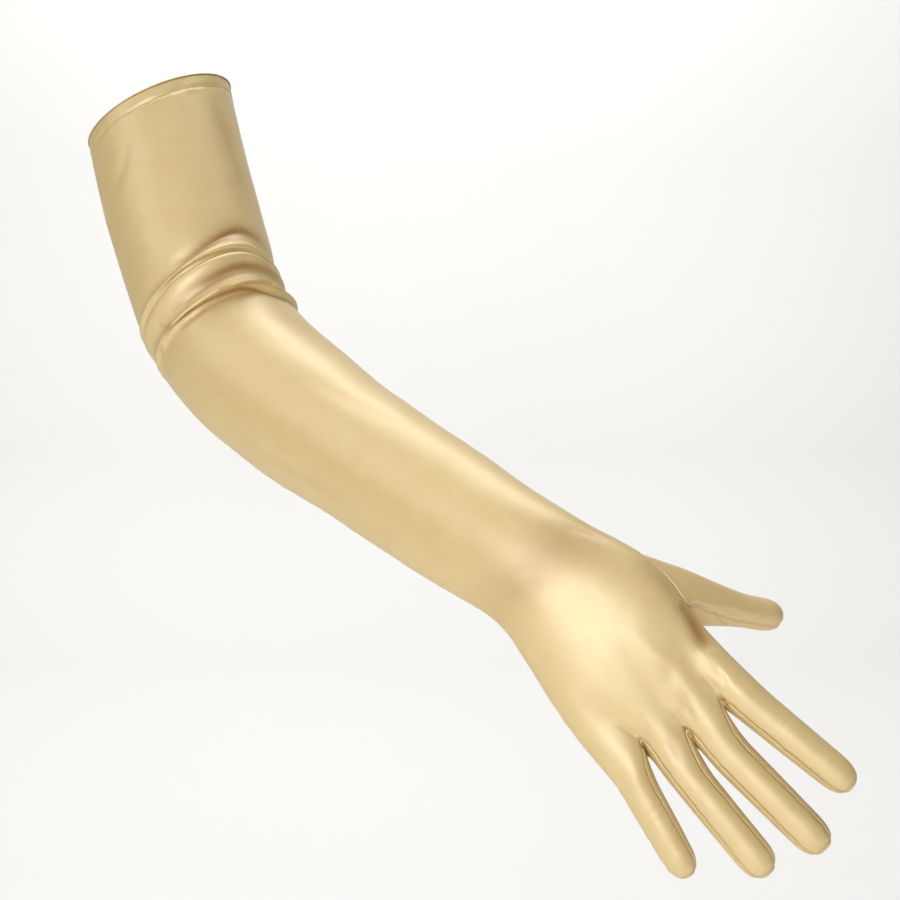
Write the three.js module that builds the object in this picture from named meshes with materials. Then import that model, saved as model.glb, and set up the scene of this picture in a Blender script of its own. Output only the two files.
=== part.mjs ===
// A long satin glove for the right hand, opera length, worn with the elbow bent. Millimetres, +Z up.
// The origin is the middle of the arm opening; the back of the hand faces -Y.
import * as THREE from 'three';

// Cloth and sewing.
const cloth = 1.0;
const seamGap = 0.3;
const hemDepth = 9;
const hemCloth = 0.8;

// Lengths along the middle of the arm and hand.
const upperArmLength = 142.5;
const forearmLength = 235;
const wristBend = 20;
const palmLength = 95;
const forkDepth = 18;

// Widths across the arm as the photo shows it, and thicknesses through it.
const hemWidth = 85.5;
const hemThickness = 82;
const upperArmWidth = 85;
const upperArmThickness = 82;
const elbowWidth = 81;
const elbowThickness = 78;
const upperForearmWidth = 78.2;
const upperForearmThickness = 74.9;
const forearmWidth = 70;
const forearmThickness = 64;
const wristWidth = 60;
const wristThickness = 42;
const palmThickness = 32;
const knuckleThickness = 25;

// The slant of the arm opening: how far its edge drops at the front and rises at the inner side.
const hemDropFront = 6;
const hemRiseInner = 10.5;

// The folds at the crook of the elbow reach this far up the arm from the elbow line.
const foldReach = 50;
const foldHeight = 4.5;
const belowFolds = 12.5;

// The thumb.
const thumbLength = 67.5;
const thumbRootWidth = 30;
const thumbRootThickness = 26;
const thumbWidth = 16;
const thumbThickness = 17;
const thumbSplay = 27;
const thumbBend = 13;
const thumbDrop = 29;

// How fast the thumb narrows, its corners even out and the shape of its hole fades, per length.
const thumbNarrowing = 1.3;
const thumbEvening = 1.4;
const thumbSettling = 1.25;
const thumbSettlePower = 1.5;

// The fingers, little finger first: the gap is to the finger before it, just past the fork.
const FINGERS = [
  { name: 'little', length: 51.5, width: 17.2, tipWidth: 13.6, thickness: 16, splay: -13.8, gap: 0 },
  { name: 'ring', length: 72.5, width: 17.9, tipWidth: 16.6, thickness: 17.5, splay: -4, gap: 4.8 },
  { name: 'middle', length: 81, width: 19.2, tipWidth: 16.8, thickness: 18, splay: 1.5, gap: 1.3 },
  { name: 'index', length: 70.5, width: 18.4, tipWidth: 15.4, thickness: 17.5, splay: 7, gap: 3.8 },
];
const middleFinger = 2;
const middleOffset = 4.3;
const fingerTipReach = 9;
const fingerCurl = 3;
const fingerTaperPower = 1.5;
const rootFullness = 1.04;
const tipFullness = 0.84;
const knuckleRise = 1.5;
const knucklePower = 0.8;
const handEdgeInset = 1.5;

// Where each web begins on the back of the hand and ends on the palm, past the knuckle line.
const WEBS = [
  { name: 'little_ring', back: -8.3, front: -1, backShift: 3.5, frontShift: 0 },
  { name: 'ring_middle', back: 2.4, front: 12, backShift: 3.6, frontShift: 0.6 },
  { name: 'middle_index', back: 3.4, front: 7, backShift: 3.0, frontShift: 0.4 },
];
const webHeight = 5.5;

// How the arm turns, by distance down its middle: the slope in the photo's plane and the lean
// towards the viewer, in degrees, from a level line.
const wristLine = upperArmLength + forearmLength;
const handStart = wristLine + wristBend;
const knuckleLine = wristLine + palmLength;
const forkLine = knuckleLine + forkDepth;
const PATH = [
  { at: 0, slope: 77, lean: 14 },
  { at: upperArmLength * 0.3, slope: 73.5, lean: 15 },
  { at: upperArmLength * 0.65, slope: 71.5, lean: 17 },
  { at: upperArmLength * 0.86, slope: 67, lean: 19 },
  { at: upperArmLength, slope: 58, lean: 21 },
  { at: upperArmLength + forearmLength * 0.085, slope: 47, lean: 24 },
  { at: upperArmLength + forearmLength * 0.17, slope: 38.5, lean: 28 },
  { at: upperArmLength + forearmLength * 0.28, slope: 36.5, lean: 31 },
  { at: upperArmLength + forearmLength * 0.43, slope: 33, lean: 33 },
  { at: upperArmLength + forearmLength * 0.64, slope: 32.5, lean: 34 },
  { at: upperArmLength + forearmLength * 0.85, slope: 31, lean: 34 },
  { at: wristLine - wristBend * 0.35, slope: 31.5, lean: 30 },
  { at: wristLine + wristBend * 0.35, slope: 38, lean: 22 },
  { at: handStart, slope: 46.5, lean: 11 },
];

// The net of the cloth: cells across each finger's back, cells across a side strip, and rings.
const fingerCells = 4;
const sideCells = 4;
const ringCells = 8 * fingerCells + 2 * sideCells;
const palmRings = 8;
const slantedRingShares = [0.32, 0.55];
const levelRingShare = 0.78;
const slantEndShare = 0.75;
const forearmRingShares = [0.08, 0.17, 0.28, 0.42, 0.56, 0.7, 0.82, 0.91];
const fingerRingShares = [0.1, 0.22, 0.38, 0.56, 0.74, 0.87, 0.945, 0.982, 0.997];
const thumbRingShares = [0.12, 0.26, 0.42, 0.58, 0.74, 0.87, 0.95, 0.985, 0.998];

const degrees = Math.PI / 180;
const lerp = (a, b, share) => a + (b - a) * share;
const smooth = (share) => {
  const s = Math.min(1, Math.max(0, share));
  return s * s * (3 - 2 * s);
};

// A value read from a table of rows by distance: straight between rows, or rounded through them.
function spanAt(rows, at) {
  let i = 0;
  while (i < rows.length - 2 && rows[i + 1].at <= at) i += 1;
  const share = (at - rows[i].at) / (rows[i + 1].at - rows[i].at);
  return { i, share: Math.min(1, Math.max(0, share)) };
}
function straight(rows, column, at) {
  const { i, share } = spanAt(rows, at);
  return lerp(rows[i][column], rows[i + 1][column], share);
}
function rounded(rows, column, at) {
  const { i, share } = spanAt(rows, at);
  const slopeAt = (k) => {
    const a = rows[Math.max(0, k - 1)];
    const b = rows[Math.min(rows.length - 1, k + 1)];
    return (b[column] - a[column]) / (b.at - a.at);
  };
  const span = rows[i + 1].at - rows[i].at;
  const s2 = share * share;
  const s3 = s2 * share;
  return (
    rows[i][column] * (2 * s3 - 3 * s2 + 1) +
    rows[i + 1][column] * (3 * s2 - 2 * s3) +
    slopeAt(i) * span * (s3 - 2 * s2 + share) +
    slopeAt(i + 1) * span * (s3 - s2)
  );
}

// The middle line of the arm, stepped out from the hem, and the frame that its sections lie in.
const pathStep = 2;
const spine = [new THREE.Vector3()];
function directionAt(at) {
  const slope = straight(PATH, 'slope', at) * degrees;
  const lean = straight(PATH, 'lean', at) * degrees;
  return new THREE.Vector3(
    Math.cos(lean) * Math.cos(slope),
    -Math.sin(lean),
    -Math.cos(lean) * Math.sin(slope),
  );
}
while ((spine.length - 1) * pathStep < forkLine) {
  const from = spine[spine.length - 1];
  spine.push(from.clone().addScaledVector(directionAt((spine.length - 0.5) * pathStep), pathStep));
}
function centreAt(at) {
  if (at < 0) return directionAt(0).multiplyScalar(at);
  const place = Math.min(spine.length - 1.001, Math.max(0, at / pathStep));
  const i = Math.floor(place);
  return spine[i].clone().lerp(spine[i + 1], place - i);
}
const towardsViewer = new THREE.Vector3(0, -1, 0);
const frameBlur = 8;
function frameAt(at) {
  const along = directionAt(at - frameBlur)
    .add(directionAt(at))
    .add(directionAt(at + frameBlur))
    .normalize();
  const back = towardsViewer.clone().addScaledVector(along, -towardsViewer.dot(along)).normalize();
  const inner = back.clone().cross(along);
  return { along, back, inner };
}

const turnTowards = (from, to, angle) =>
  from.clone().multiplyScalar(Math.cos(angle * degrees)).addScaledVector(to, Math.sin(angle * degrees));

// The fingers' axes in the hand's own plane: across from the hand's middle line, at the fork.
FINGERS[middleFinger].across = middleOffset;
for (let k = middleFinger + 1; k < FINGERS.length; k += 1) {
  const before = FINGERS[k - 1];
  FINGERS[k].across = before.across + (before.width + FINGERS[k].width) / 2 + FINGERS[k].gap;
}
for (let k = middleFinger - 1; k >= 0; k -= 1) {
  const after = FINGERS[k + 1];
  FINGERS[k].across = after.across - (after.width + FINGERS[k].width) / 2 - after.gap;
}
const acrossAt = (finger, at) => finger.across + (at - forkLine) * Math.tan(finger.splay * degrees);
const outerEdge = acrossAt(FINGERS[0], knuckleLine) - FINGERS[0].width / 2;
const innerEdge = acrossAt(FINGERS[3], knuckleLine) + FINGERS[3].width / 2 + cloth;

// Sections of arm and hand: width and thickness, how far the middle shifts, and how square it is.
const palmSpan = knuckleLine - handStart;
const handSection = (share, outer, inner, thickness, square) => ({
  at: handStart + palmSpan * share,
  width: innerEdge * inner - outerEdge * outer,
  shift: (innerEdge * inner + outerEdge * outer) / 2,
  thickness,
  square,
});
const armSection = (at, width, thickness) => ({ at, width, shift: 0, thickness, square: 1 });
const SECTIONS = [
  armSection(0, hemWidth, hemThickness),
  armSection(upperArmLength * 0.5, upperArmWidth, upperArmThickness),
  armSection(upperArmLength, elbowWidth, elbowThickness),
  armSection(upperArmLength + forearmLength * 0.18, upperForearmWidth, upperForearmThickness),
  armSection(
    upperArmLength + forearmLength * 0.3,
    lerp(elbowWidth, forearmWidth, 0.45),
    lerp(elbowThickness, forearmThickness, 0.45),
  ),
  armSection(upperArmLength + forearmLength * 0.47, forearmWidth, forearmThickness),
  armSection(
    upperArmLength + forearmLength * 0.75,
    lerp(forearmWidth, wristWidth, 0.5),
    lerp(forearmThickness, wristThickness, 0.45),
  ),
  armSection(wristLine, wristWidth, wristThickness),
  handSection(0, 0.785, 1.02, palmThickness * 1.12, 0.95),
  handSection(0.24, 0.86, 1.13, palmThickness * 1.06, 0.88),
  handSection(0.45, 0.93, 1.08, palmThickness, 0.84),
  handSection(0.68, 0.97, 1.01, lerp(palmThickness, knuckleThickness, 0.6), 0.82),
  handSection(1, 1, 1, knuckleThickness, 0.82),
];
const powered = (value, power) => Math.sign(value) * Math.abs(value) ** power;
function sectionPoint(at, angle, lift) {
  const { back, inner } = frameAt(at);
  const square = straight(SECTIONS, 'square', at);
  const halfWidth = rounded(SECTIONS, 'width', at) / 2 + lift;
  const halfThickness = rounded(SECTIONS, 'thickness', at) / 2 + lift;
  return centreAt(at)
    .addScaledVector(inner, rounded(SECTIONS, 'shift', at) + halfWidth * powered(Math.cos(angle), square))
    .addScaledVector(back, halfThickness * powered(Math.sin(angle), square));
}

// The fold lines of the elbow, from the top one down. Each runs round the arm: its height above
// the elbow line at six places, as shares of the folds' reach, and how far it stands out there, as
// shares of the folds' height.
const FOLD_PLACES = [
  { name: 'right', angle: 10 },
  { name: 'crook', angle: 45 },
  { name: 'front', angle: 90 },
  { name: 'left', angle: 135 },
  { name: 'outer', angle: 205 },
  { name: 'rear', angle: 300 },
];
const FOLDS = [
  { up: { right: 0.76, crook: 0.98, front: 0.8, left: 0.62, outer: 0.5, rear: 0.66 },
    out: { right: -0.2, crook: -0.1, front: 0, left: 0, outer: 0, rear: 0 } },
  { up: { right: 0.61, crook: 0.84, front: 0.64, left: 0.47, outer: 0.38, rear: 0.54 },
    out: { right: -0.3, crook: -0.3, front: -0.05, left: 0, outer: 0, rear: -0.1 } },
  { up: { right: 0.51, crook: 0.69, front: 0.55, left: 0.39, outer: 0.3, rear: 0.45 },
    out: { right: 0.15, crook: 0.75, front: 0.65, left: 0.35, outer: 0.05, rear: 0.4 } },
  { up: { right: 0.44, crook: 0.6, front: 0.49, left: 0.33, outer: 0.25, rear: 0.38 },
    out: { right: 0, crook: 0.25, front: 0.3, left: 0.15, outer: 0.02, rear: 0.1 } },
  { up: { right: 0.34, crook: 0.52, front: 0.42, left: 0.27, outer: 0.2, rear: 0.31 },
    out: { right: 0.25, crook: 0.8, front: 0.65, left: 0.3, outer: 0.05, rear: 0.45 } },
  { up: { right: 0.2, crook: 0.34, front: 0.18, left: 0.13, outer: 0.1, rear: 0.19 },
    out: { right: -0.4, crook: -0.4, front: -0.1, left: 0.05, outer: 0, rear: -0.15 } },
  { up: { right: -0.06, crook: 0.12, front: 0.09, left: 0.07, outer: 0, rear: 0.02 },
    out: { right: 0.2, crook: 0.6, front: 0.5, left: 0.4, outer: 0.1, rear: 0.4 } },
  { up: { right: -0.12, crook: 0.05, front: 0.04, left: 0.02, outer: -0.06, rear: -0.04 },
    out: { right: 0.55, crook: 1, front: 0.85, left: 0.65, outer: 0.12, rear: 0.6 } },
  { up: { right: -0.16, crook: 0.0, front: 0.0, left: -0.03, outer: -0.11, rear: -0.09 },
    out: { right: -0.05, crook: 0.35, front: 0.3, left: 0.25, outer: 0.05, rear: 0.2 } },
  { up: { right: -0.22, crook: -0.06, front: -0.06, left: -0.1, outer: -0.18, rear: -0.16 },
    out: { right: -0.3, crook: -0.1, front: -0.05, left: 0, outer: 0, rear: 0 } },
];
function roundTheArm(values, angle) {
  const places = FOLD_PLACES.map(({ name, angle: at }) => ({ at: at, value: values[name] }));
  const first = places[0];
  const last = places[places.length - 1];
  const loop = [
    { ...last, at: last.at - 360 },
    ...places,
    { ...first, at: first.at + 360 },
    { ...places[1], at: places[1].at + 360 },
  ];
  const turned = (((angle / degrees - first.at) % 360) + 360) % 360 + first.at;
  return rounded(loop, 'value', turned);
}

// Plain rings of the sleeve above and below the folds, by share of each stretch.
const foldTop = upperArmLength - foldReach;
const foldFoot = upperArmLength + belowFolds;
const sleeveRings = [];
const plainRing = (at) => sleeveRings.push({ at: () => at, lift: () => 0 });
const hemSlant = (angle) => hemDropFront * Math.sin(angle) - hemRiseInner * Math.cos(angle);
const slantedRing = (at) => {
  const fade = 1 - at / (foldTop * slantEndShare);
  sleeveRings.push({ at: (angle) => at + hemSlant(angle) * fade, lift: () => 0 });
};
slantedRing(0);
slantedRing(hemDepth);
for (const share of slantedRingShares) slantedRing(foldTop * share);
plainRing(foldTop * levelRingShare);
for (const fold of FOLDS) {
  sleeveRings.push({
    at: (angle) => upperArmLength - foldReach * roundTheArm(fold.up, angle),
    lift: (angle) => foldHeight * roundTheArm(fold.out, angle),
  });
}
for (const share of forearmRingShares) plainRing(lerp(foldFoot, handStart, share));
plainRing(wristLine);

// Easing of the cloth: rounds, and how far a point goes in and back out in each.
const easeRounds = 8;
const easeIn = 0.5;
const easeOut = -0.52;
const fingerEase = [0.8, 0.5];
const thumbEase = [1, 0.78, 0.56, 0.34];
const easeRing = { finger: [], thumb: [] };

// The net: its points, and its cells with the name of the piece that each is cut from.
const net = { points: [], cells: [] };
function addPoint(point) {
  net.points.push(point);
  return net.points.length - 1;
}
function joinRings(upper, lower, pieceOf, closed = true) {
  const count = closed ? upper.length : upper.length - 1;
  for (let j = 0; j < count; j += 1) {
    const next = (j + 1) % upper.length;
    const piece = pieceOf(j);
    if (piece) net.cells.push({ piece, corners: [upper[j], upper[next], lower[next], lower[j]] });
  }
}

// Columns run from the little finger's side across the back of the hand, and back over the palm.
const cornerAngle = (180 * sideCells) / ringCells;
const columnAngle = (j) => (180 - cornerAngle - (360 * j) / ringCells) * degrees;
const columns = Array.from({ length: ringCells }, (_, j) => j);
const backColumns = 4 * fingerCells;

// The line where the fingers fork from the hand: the same count of points as a ring.
function handPoint(at, across, height) {
  const { back, inner } = frameAt(at);
  return centreAt(at).addScaledVector(inner, across).addScaledVector(back, height);
}
const edgeAt = (k) => {
  const outer = { at: knuckleLine, across: outerEdge + handEdgeInset, height: webHeight };
  const inner = { at: knuckleLine, across: innerEdge - handEdgeInset, height: webHeight };
  return k === 0 ? outer : inner;
};
function webEnd(k, side) {
  if (k === 0 || k === FINGERS.length) {
    const edge = edgeAt(k);
    return side === 'back' ? edge : { ...edge, height: -webHeight };
  }
  const web = WEBS[k - 1];
  const at = knuckleLine + (side === 'back' ? web.back : web.front);
  const left = acrossAt(FINGERS[k - 1], at) + FINGERS[k - 1].width / 2;
  const right = acrossAt(FINGERS[k], at) - FINGERS[k].width / 2;
  const shift = side === 'back' ? web.backShift : web.frontShift;
  return { at, across: (left + right) / 2 + shift, height: side === 'back' ? webHeight : -webHeight };
}
function forkPlace(k, side, share) {
  const a = webEnd(k, side);
  const b = webEnd(k + 1, side);
  const arch = Math.sin(Math.PI * share) ** knucklePower;
  const rise = (FINGERS[k].thickness / 2 + knuckleRise - webHeight) * arch;
  const sign = side === 'back' ? 1 : -1;
  return {
    at: lerp(a.at, b.at, share),
    across: lerp(a.across, b.across, share),
    height: lerp(a.height, b.height, share) + sign * rise,
  };
}
function forkPlaceOfColumn(j) {
  if (j <= backColumns) {
    const k = Math.min(FINGERS.length - 1, Math.floor(j / fingerCells));
    return forkPlace(k, 'back', (j - k * fingerCells) / fingerCells);
  }
  const overPalm = j - backColumns - sideCells;
  if (overPalm < 0 || overPalm > backColumns) {
    const inner = overPalm < 0;
    const share = inner ? (j - backColumns) / sideCells : (overPalm - backColumns) / sideCells;
    const turn = Math.PI * share;
    const edge = inner ? innerEdge : outerEdge;
    const bulge = (Math.abs(edge - edgeAt(inner ? 4 : 0).across)) * Math.sin(turn) * (inner ? 1 : -1);
    const height = webHeight * Math.cos(turn) * (inner ? 1 : -1);
    return { at: knuckleLine, across: edgeAt(inner ? 4 : 0).across + bulge, height };
  }
  const fromIndex = Math.min(FINGERS.length - 1, Math.floor(overPalm / fingerCells));
  const k = FINGERS.length - 1 - fromIndex;
  return forkPlace(k, 'front', 1 - (overPalm - fromIndex * fingerCells) / fingerCells);
}
const forkPlaces = columns.map(forkPlaceOfColumn);
const forkRing = forkPlaces.map(({ at, across, height }) => addPoint(handPoint(at, across, height)));

// Sleeve and palm, ring by ring, down to the fork.
const thumbHole = {
  firstRing: 1,
  lastRing: 4,
  firstColumn: backColumns + 1,
  lastColumn: backColumns + sideCells + 4,
};
const rings = sleeveRings.map((ring) =>
  columns.map((j) => {
    const angle = columnAngle(j);
    return addPoint(sectionPoint(ring.at(angle), angle, ring.lift(angle)));
  }),
);
const forkBlend = 0.5;
for (let i = 0; i < palmRings; i += 1) {
  rings.push(
    columns.map((j) => {
      const angle = columnAngle(j);
      const end = forkPlaces[j];
      const at = lerp(handStart, end.at, i / palmRings);
      const plain = sectionPoint(at, angle, 0);
      const target = sectionPoint(end.at, angle, 0);
      const drift = net.points[forkRing[j]].clone().sub(target);
      const share = (i / palmRings - forkBlend) / (1 - forkBlend);
      return addPoint(plain.addScaledVector(drift, smooth(share)));
    }),
  );
}
rings.push(forkRing);
const palmStart = rings.length - 1 - palmRings;
for (let i = 0; i < rings.length - 1; i += 1) {
  const palmRow = i - palmStart;
  joinRings(rings[i], rings[i + 1], (j) => {
    const beside = j >= thumbHole.firstColumn && j < thumbHole.lastColumn;
    const level = palmRow >= thumbHole.firstRing && palmRow < thumbHole.lastRing;
    return beside && level ? null : 'trank';
  });
}

// The web lines from back to palm, each shared by the two fingers beside it.
const webLines = WEBS.map((web, index) => {
  const k = index + 1;
  const start = forkRing[k * fingerCells];
  const end = forkRing[backColumns + sideCells + (FINGERS.length - k) * fingerCells];
  const line = [start];
  for (let i = 1; i < sideCells; i += 1) {
    line.push(addPoint(net.points[start].clone().lerp(net.points[end], i / sideCells)));
  }
  line.push(end);
  return line;
});

// One finger: its loop at the fork is carried to the tip, the corners drawing in as it narrows.
function fingerLoop(k) {
  const backStart = k * fingerCells;
  const frontStart = backColumns + sideCells + (FINGERS.length - 1 - k) * fingerCells;
  const back = Array.from({ length: fingerCells }, (_, i) => forkRing[backStart + i]);
  const front = Array.from({ length: fingerCells }, (_, i) => forkRing[frontStart + i]);
  const innerSide = k === FINGERS.length - 1
    ? Array.from({ length: sideCells }, (_, i) => forkRing[backColumns + i])
    : webLines[k].slice(0, sideCells);
  const outerSide = k === 0
    ? Array.from({ length: sideCells }, (_, i) => forkRing[2 * backColumns + sideCells + i])
    : [...webLines[k - 1]].reverse().slice(0, sideCells);
  return [...back, ...innerSide, ...front, ...outerSide];
}
const rootCorner = 47;
const tipCorner = 30;
const tipPower = 2.4;
const tipFalloff = (share) => (1 - Math.min(1, share) ** tipPower) ** (1 / tipPower);
function fingerAngle(j, alongShare) {
  const corner = lerp(rootCorner, tipCorner, alongShare);
  if (j <= fingerCells) return lerp(180 - corner, corner, j / fingerCells);
  if (j <= fingerCells + sideCells) return lerp(corner, -corner, (j - fingerCells) / sideCells);
  const palmSide = j - fingerCells - sideCells;
  if (palmSide <= fingerCells) return lerp(-corner, corner - 180, palmSide / fingerCells);
  return lerp(corner - 180, -180 - corner, (palmSide - fingerCells) / sideCells);
}
function buildFinger(k) {
  const finger = FINGERS[k];
  const hand = frameAt(forkLine);
  const along = turnTowards(hand.along, hand.inner, finger.splay);
  const inner = hand.back.clone().cross(along);
  const root = handPoint(knuckleLine, acrossAt(finger, knuckleLine), 0);
  const loop = fingerLoop(k);
  const tubePoint = (at, angle) => {
    const share = Math.max(0, at / finger.length);
    const overTip = Math.max(0, (at - finger.length + fingerTipReach) / fingerTipReach);
    const roundTip = tipFalloff(overTip);
    const halfWidth = (lerp(finger.width, finger.tipWidth, share ** fingerTaperPower) / 2) * roundTip;
    const halfThickness = (finger.thickness / 2) * lerp(rootFullness, tipFullness, share) * roundTip;
    return root.clone()
      .addScaledVector(along, at)
      .addScaledVector(inner, halfWidth * Math.cos(angle * degrees))
      .addScaledVector(hand.back, halfThickness * Math.sin(angle * degrees) - fingerCurl * share ** 2);
  };
  const starts = loop.map((index) => net.points[index].clone().sub(root).dot(along));
  const settle = forkDepth;
  const fingerNet = [loop];
  for (const share of fingerRingShares) {
    fingerNet.push(
      loop.map((index, j) => {
        const at = lerp(starts[j], finger.length, share);
        const angle = fingerAngle(j, share);
        const drift = net.points[index].clone().sub(tubePoint(starts[j], fingerAngle(j, 0)));
        const keep = 1 - smooth((at - starts[j]) / settle);
        return addPoint(tubePoint(at, angle).addScaledVector(drift, keep));
      }),
    );
  }
  const pieceOf = (j) => {
    if (j >= fingerCells && j < fingerCells + sideCells && k < FINGERS.length - 1) {
      return `fourchette_${WEBS[k].name}`;
    }
    if (j >= 2 * fingerCells + sideCells && k > 0) return `fourchette_${WEBS[k - 1].name}`;
    return 'trank';
  };
  for (let i = 0; i < fingerNet.length - 1; i += 1) joinRings(fingerNet[i], fingerNet[i + 1], pieceOf);
  easeRing.finger.push(fingerNet.slice(1, 3));
  closeFinger(fingerNet[fingerNet.length - 1]);
}

// The tip: the back and the palm side of the last ring meet over it in rows of cells.
function closeFinger(last) {
  const rowsOver = [];
  for (let s = 0; s <= sideCells; s += 1) {
    const row = [];
    for (let i = 0; i <= fingerCells; i += 1) {
      const onBack = last[i];
      const onFront = last[(2 * fingerCells + sideCells - i) % last.length];
      if (s === 0) row.push(onBack);
      else if (s === sideCells) row.push(onFront);
      else if (i === 0) row.push(last[last.length - s]);
      else if (i === fingerCells) row.push(last[fingerCells + s]);
      else row.push(addPoint(net.points[onBack].clone().lerp(net.points[onFront], s / sideCells)));
    }
    rowsOver.push(row);
  }
  for (let s = 0; s < sideCells; s += 1) joinRings(rowsOver[s], rowsOver[s + 1], () => 'trank', false);
}
FINGERS.forEach((finger, k) => buildFinger(k));

// The thumb grows from its hole in the side of the palm.
function thumbLoop() {
  const { firstRing, lastRing, firstColumn, lastColumn } = thumbHole;
  const ringOf = (row) => rings[palmStart + row];
  const loop = [];
  for (let c = firstColumn; c < lastColumn; c += 1) loop.push(ringOf(firstRing)[c]);
  for (let r = firstRing; r < lastRing; r += 1) loop.push(ringOf(r)[lastColumn]);
  for (let c = lastColumn; c > firstColumn; c -= 1) loop.push(ringOf(lastRing)[c]);
  for (let r = lastRing; r > firstRing; r -= 1) loop.push(ringOf(r)[firstColumn]);
  return loop;
}
function buildThumb() {
  const loop = thumbLoop();
  const hand = frameAt(forkLine);
  const along = turnTowards(turnTowards(hand.along, hand.inner, thumbSplay), hand.back, -thumbDrop);
  const back = hand.back.clone().addScaledVector(along, -hand.back.dot(along)).normalize();
  const inner = back.clone().cross(along);
  const root = new THREE.Vector3();
  loop.forEach((index) => root.addScaledVector(net.points[index], 1 / loop.length));
  const seen = loop.map((index) => {
    const from = net.points[index].clone().sub(root);
    return Math.atan2(from.dot(back), from.dot(inner));
  });
  const loopTurn = Math.sign(Math.sin(seen[1] - seen[0]));
  for (let j = 1; j < seen.length; j += 1) {
    while ((seen[j] - seen[j - 1]) * loopTurn < -Math.PI) seen[j] += 2 * Math.PI * loopTurn;
    while ((seen[j] - seen[j - 1]) * loopTurn > Math.PI) seen[j] -= 2 * Math.PI * loopTurn;
  }
  const evenStep = (loopTurn * 2 * Math.PI) / loop.length;
  const evenStart = seen.reduce((sum, angle, j) => sum + (angle - j * evenStep) / loop.length, 0);
  const angleAt = (j, share) => lerp(seen[j], evenStart + j * evenStep, smooth(share * thumbEvening));
  const bend = thumbBend * degrees;
  const bendRadius = thumbLength / bend;
  const tubePoint = (at, angle) => {
    const share = Math.max(0, at / thumbLength);
    const turned = bend * share;
    const overTip = Math.max(0, (at - thumbLength + fingerTipReach) / fingerTipReach);
    const roundTip = tipFalloff(overTip);
    const neck = smooth(share * thumbNarrowing);
    const halfWidth = (lerp(thumbRootWidth, thumbWidth, neck) / 2) * roundTip;
    const halfThickness = (lerp(thumbRootThickness, thumbThickness, neck) / 2) * roundTip;
    const sideStep = bendRadius * (1 - Math.cos(turned)) + halfWidth * Math.cos(angle) * Math.cos(turned);
    const foreStep = at < 0 ? at : bendRadius * Math.sin(turned);
    return root.clone()
      .addScaledVector(along, foreStep - halfWidth * Math.cos(angle) * Math.sin(turned))
      .addScaledVector(inner, sideStep)
      .addScaledVector(back, halfThickness * Math.sin(angle));
  };
  const starts = loop.map((index) => net.points[index].clone().sub(root).dot(along));
  let ring = loop;
  for (const share of thumbRingShares) {
    const next = loop.map((index, j) => {
      const at = lerp(starts[j], thumbLength, share);
      const drift = net.points[index].clone().sub(tubePoint(starts[j], seen[j]));
      const keep = (1 - smooth(share * thumbSettling)) ** thumbSettlePower;
      return addPoint(tubePoint(at, angleAt(j, share)).addScaledVector(drift, keep));
    });
    joinRings(ring, next, () => 'thumb');
    if (easeRing.thumb.length < thumbEase.length) easeRing.thumb.push(next);
    ring = next;
  }
  const tip = addPoint(tubePoint(thumbLength, 0).lerp(tubePoint(thumbLength, Math.PI), 0.5));
  ring.forEach((index, j) => {
    net.cells.push({ piece: 'thumb', corners: [index, ring[(j + 1) % ring.length], tip] });
  });
}
buildThumb();

// The cloth eases over the knuckles, the fork and the root of the thumb: each point moves towards
// the middle of its neighbours and a little back out, so that the hand keeps its size.
const easing = new Map();
const ease = (index, share) => easing.set(index, Math.max(share, easing.get(index) ?? 0));
function easeNet() {
  const neighbours = net.points.map(() => new Set());
  for (const { corners } of net.cells) {
    corners.forEach((a, i) => {
      const b = corners[(i + 1) % corners.length];
      neighbours[a].add(b);
      neighbours[b].add(a);
    });
  }
  for (const pull of Array.from({ length: easeRounds * 2 }, (_, i) => (i % 2 ? easeOut : easeIn))) {
    const moves = [...easing].map(([index, share]) => {
      const middle = new THREE.Vector3();
      const part = 1 / neighbours[index].size;
      neighbours[index].forEach((other) => middle.addScaledVector(net.points[other], part));
      return [index, middle.sub(net.points[index]).multiplyScalar(pull * share)];
    });
    for (const [index, move] of moves) net.points[index].add(move);
  }
}
const palmEaseReach = 0.4;
const webEndEase = 0.15;
for (let r = 1; r <= palmRings; r += 1) {
  const share = smooth(r / palmRings / palmEaseReach);
  const isWebEnd = (j) => r === palmRings && j % fingerCells === 0;
  rings[palmStart + r].forEach((index, j) => ease(index, isWebEnd(j) ? webEndEase : share));
}
for (const loops of easeRing.finger) {
  loops.forEach((loop, i) => loop.forEach((index) => ease(index, fingerEase[i])));
}
easeRing.thumb.forEach((loop, i) => loop.forEach((index) => ease(index, thumbEase[i])));
easeNet();

// Which way the net's cells face, and the outward direction at each of its points.
function cellNormal(corners) {
  const p = corners.map((index) => net.points[index]);
  const across = p[2].clone().sub(p[0]);
  const other = (p[3] ?? p[0]).clone().sub(p[1]);
  return across.cross(other);
}
const outward = net.points.map(() => new THREE.Vector3());
for (const cell of net.cells) {
  const normal = cellNormal(cell.corners);
  for (const index of cell.corners) outward[index].add(normal);
}
outward.forEach((normal) => normal.normalize());
const probe = rings[2][0];
const facesOut = outward[probe].dot(net.points[probe].clone().sub(centreAt(foldTop * 0.3))) > 0;
if (!facesOut) {
  net.cells.forEach((cell) => cell.corners.reverse());
  outward.forEach((normal) => normal.negate());
}

// A cut edge that doubles back on itself is drawn in along the cloth instead of mitred.
const mitreLimit = 1.5;
const doublesBack = -0.3;
const doubledPull = 2;

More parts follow.
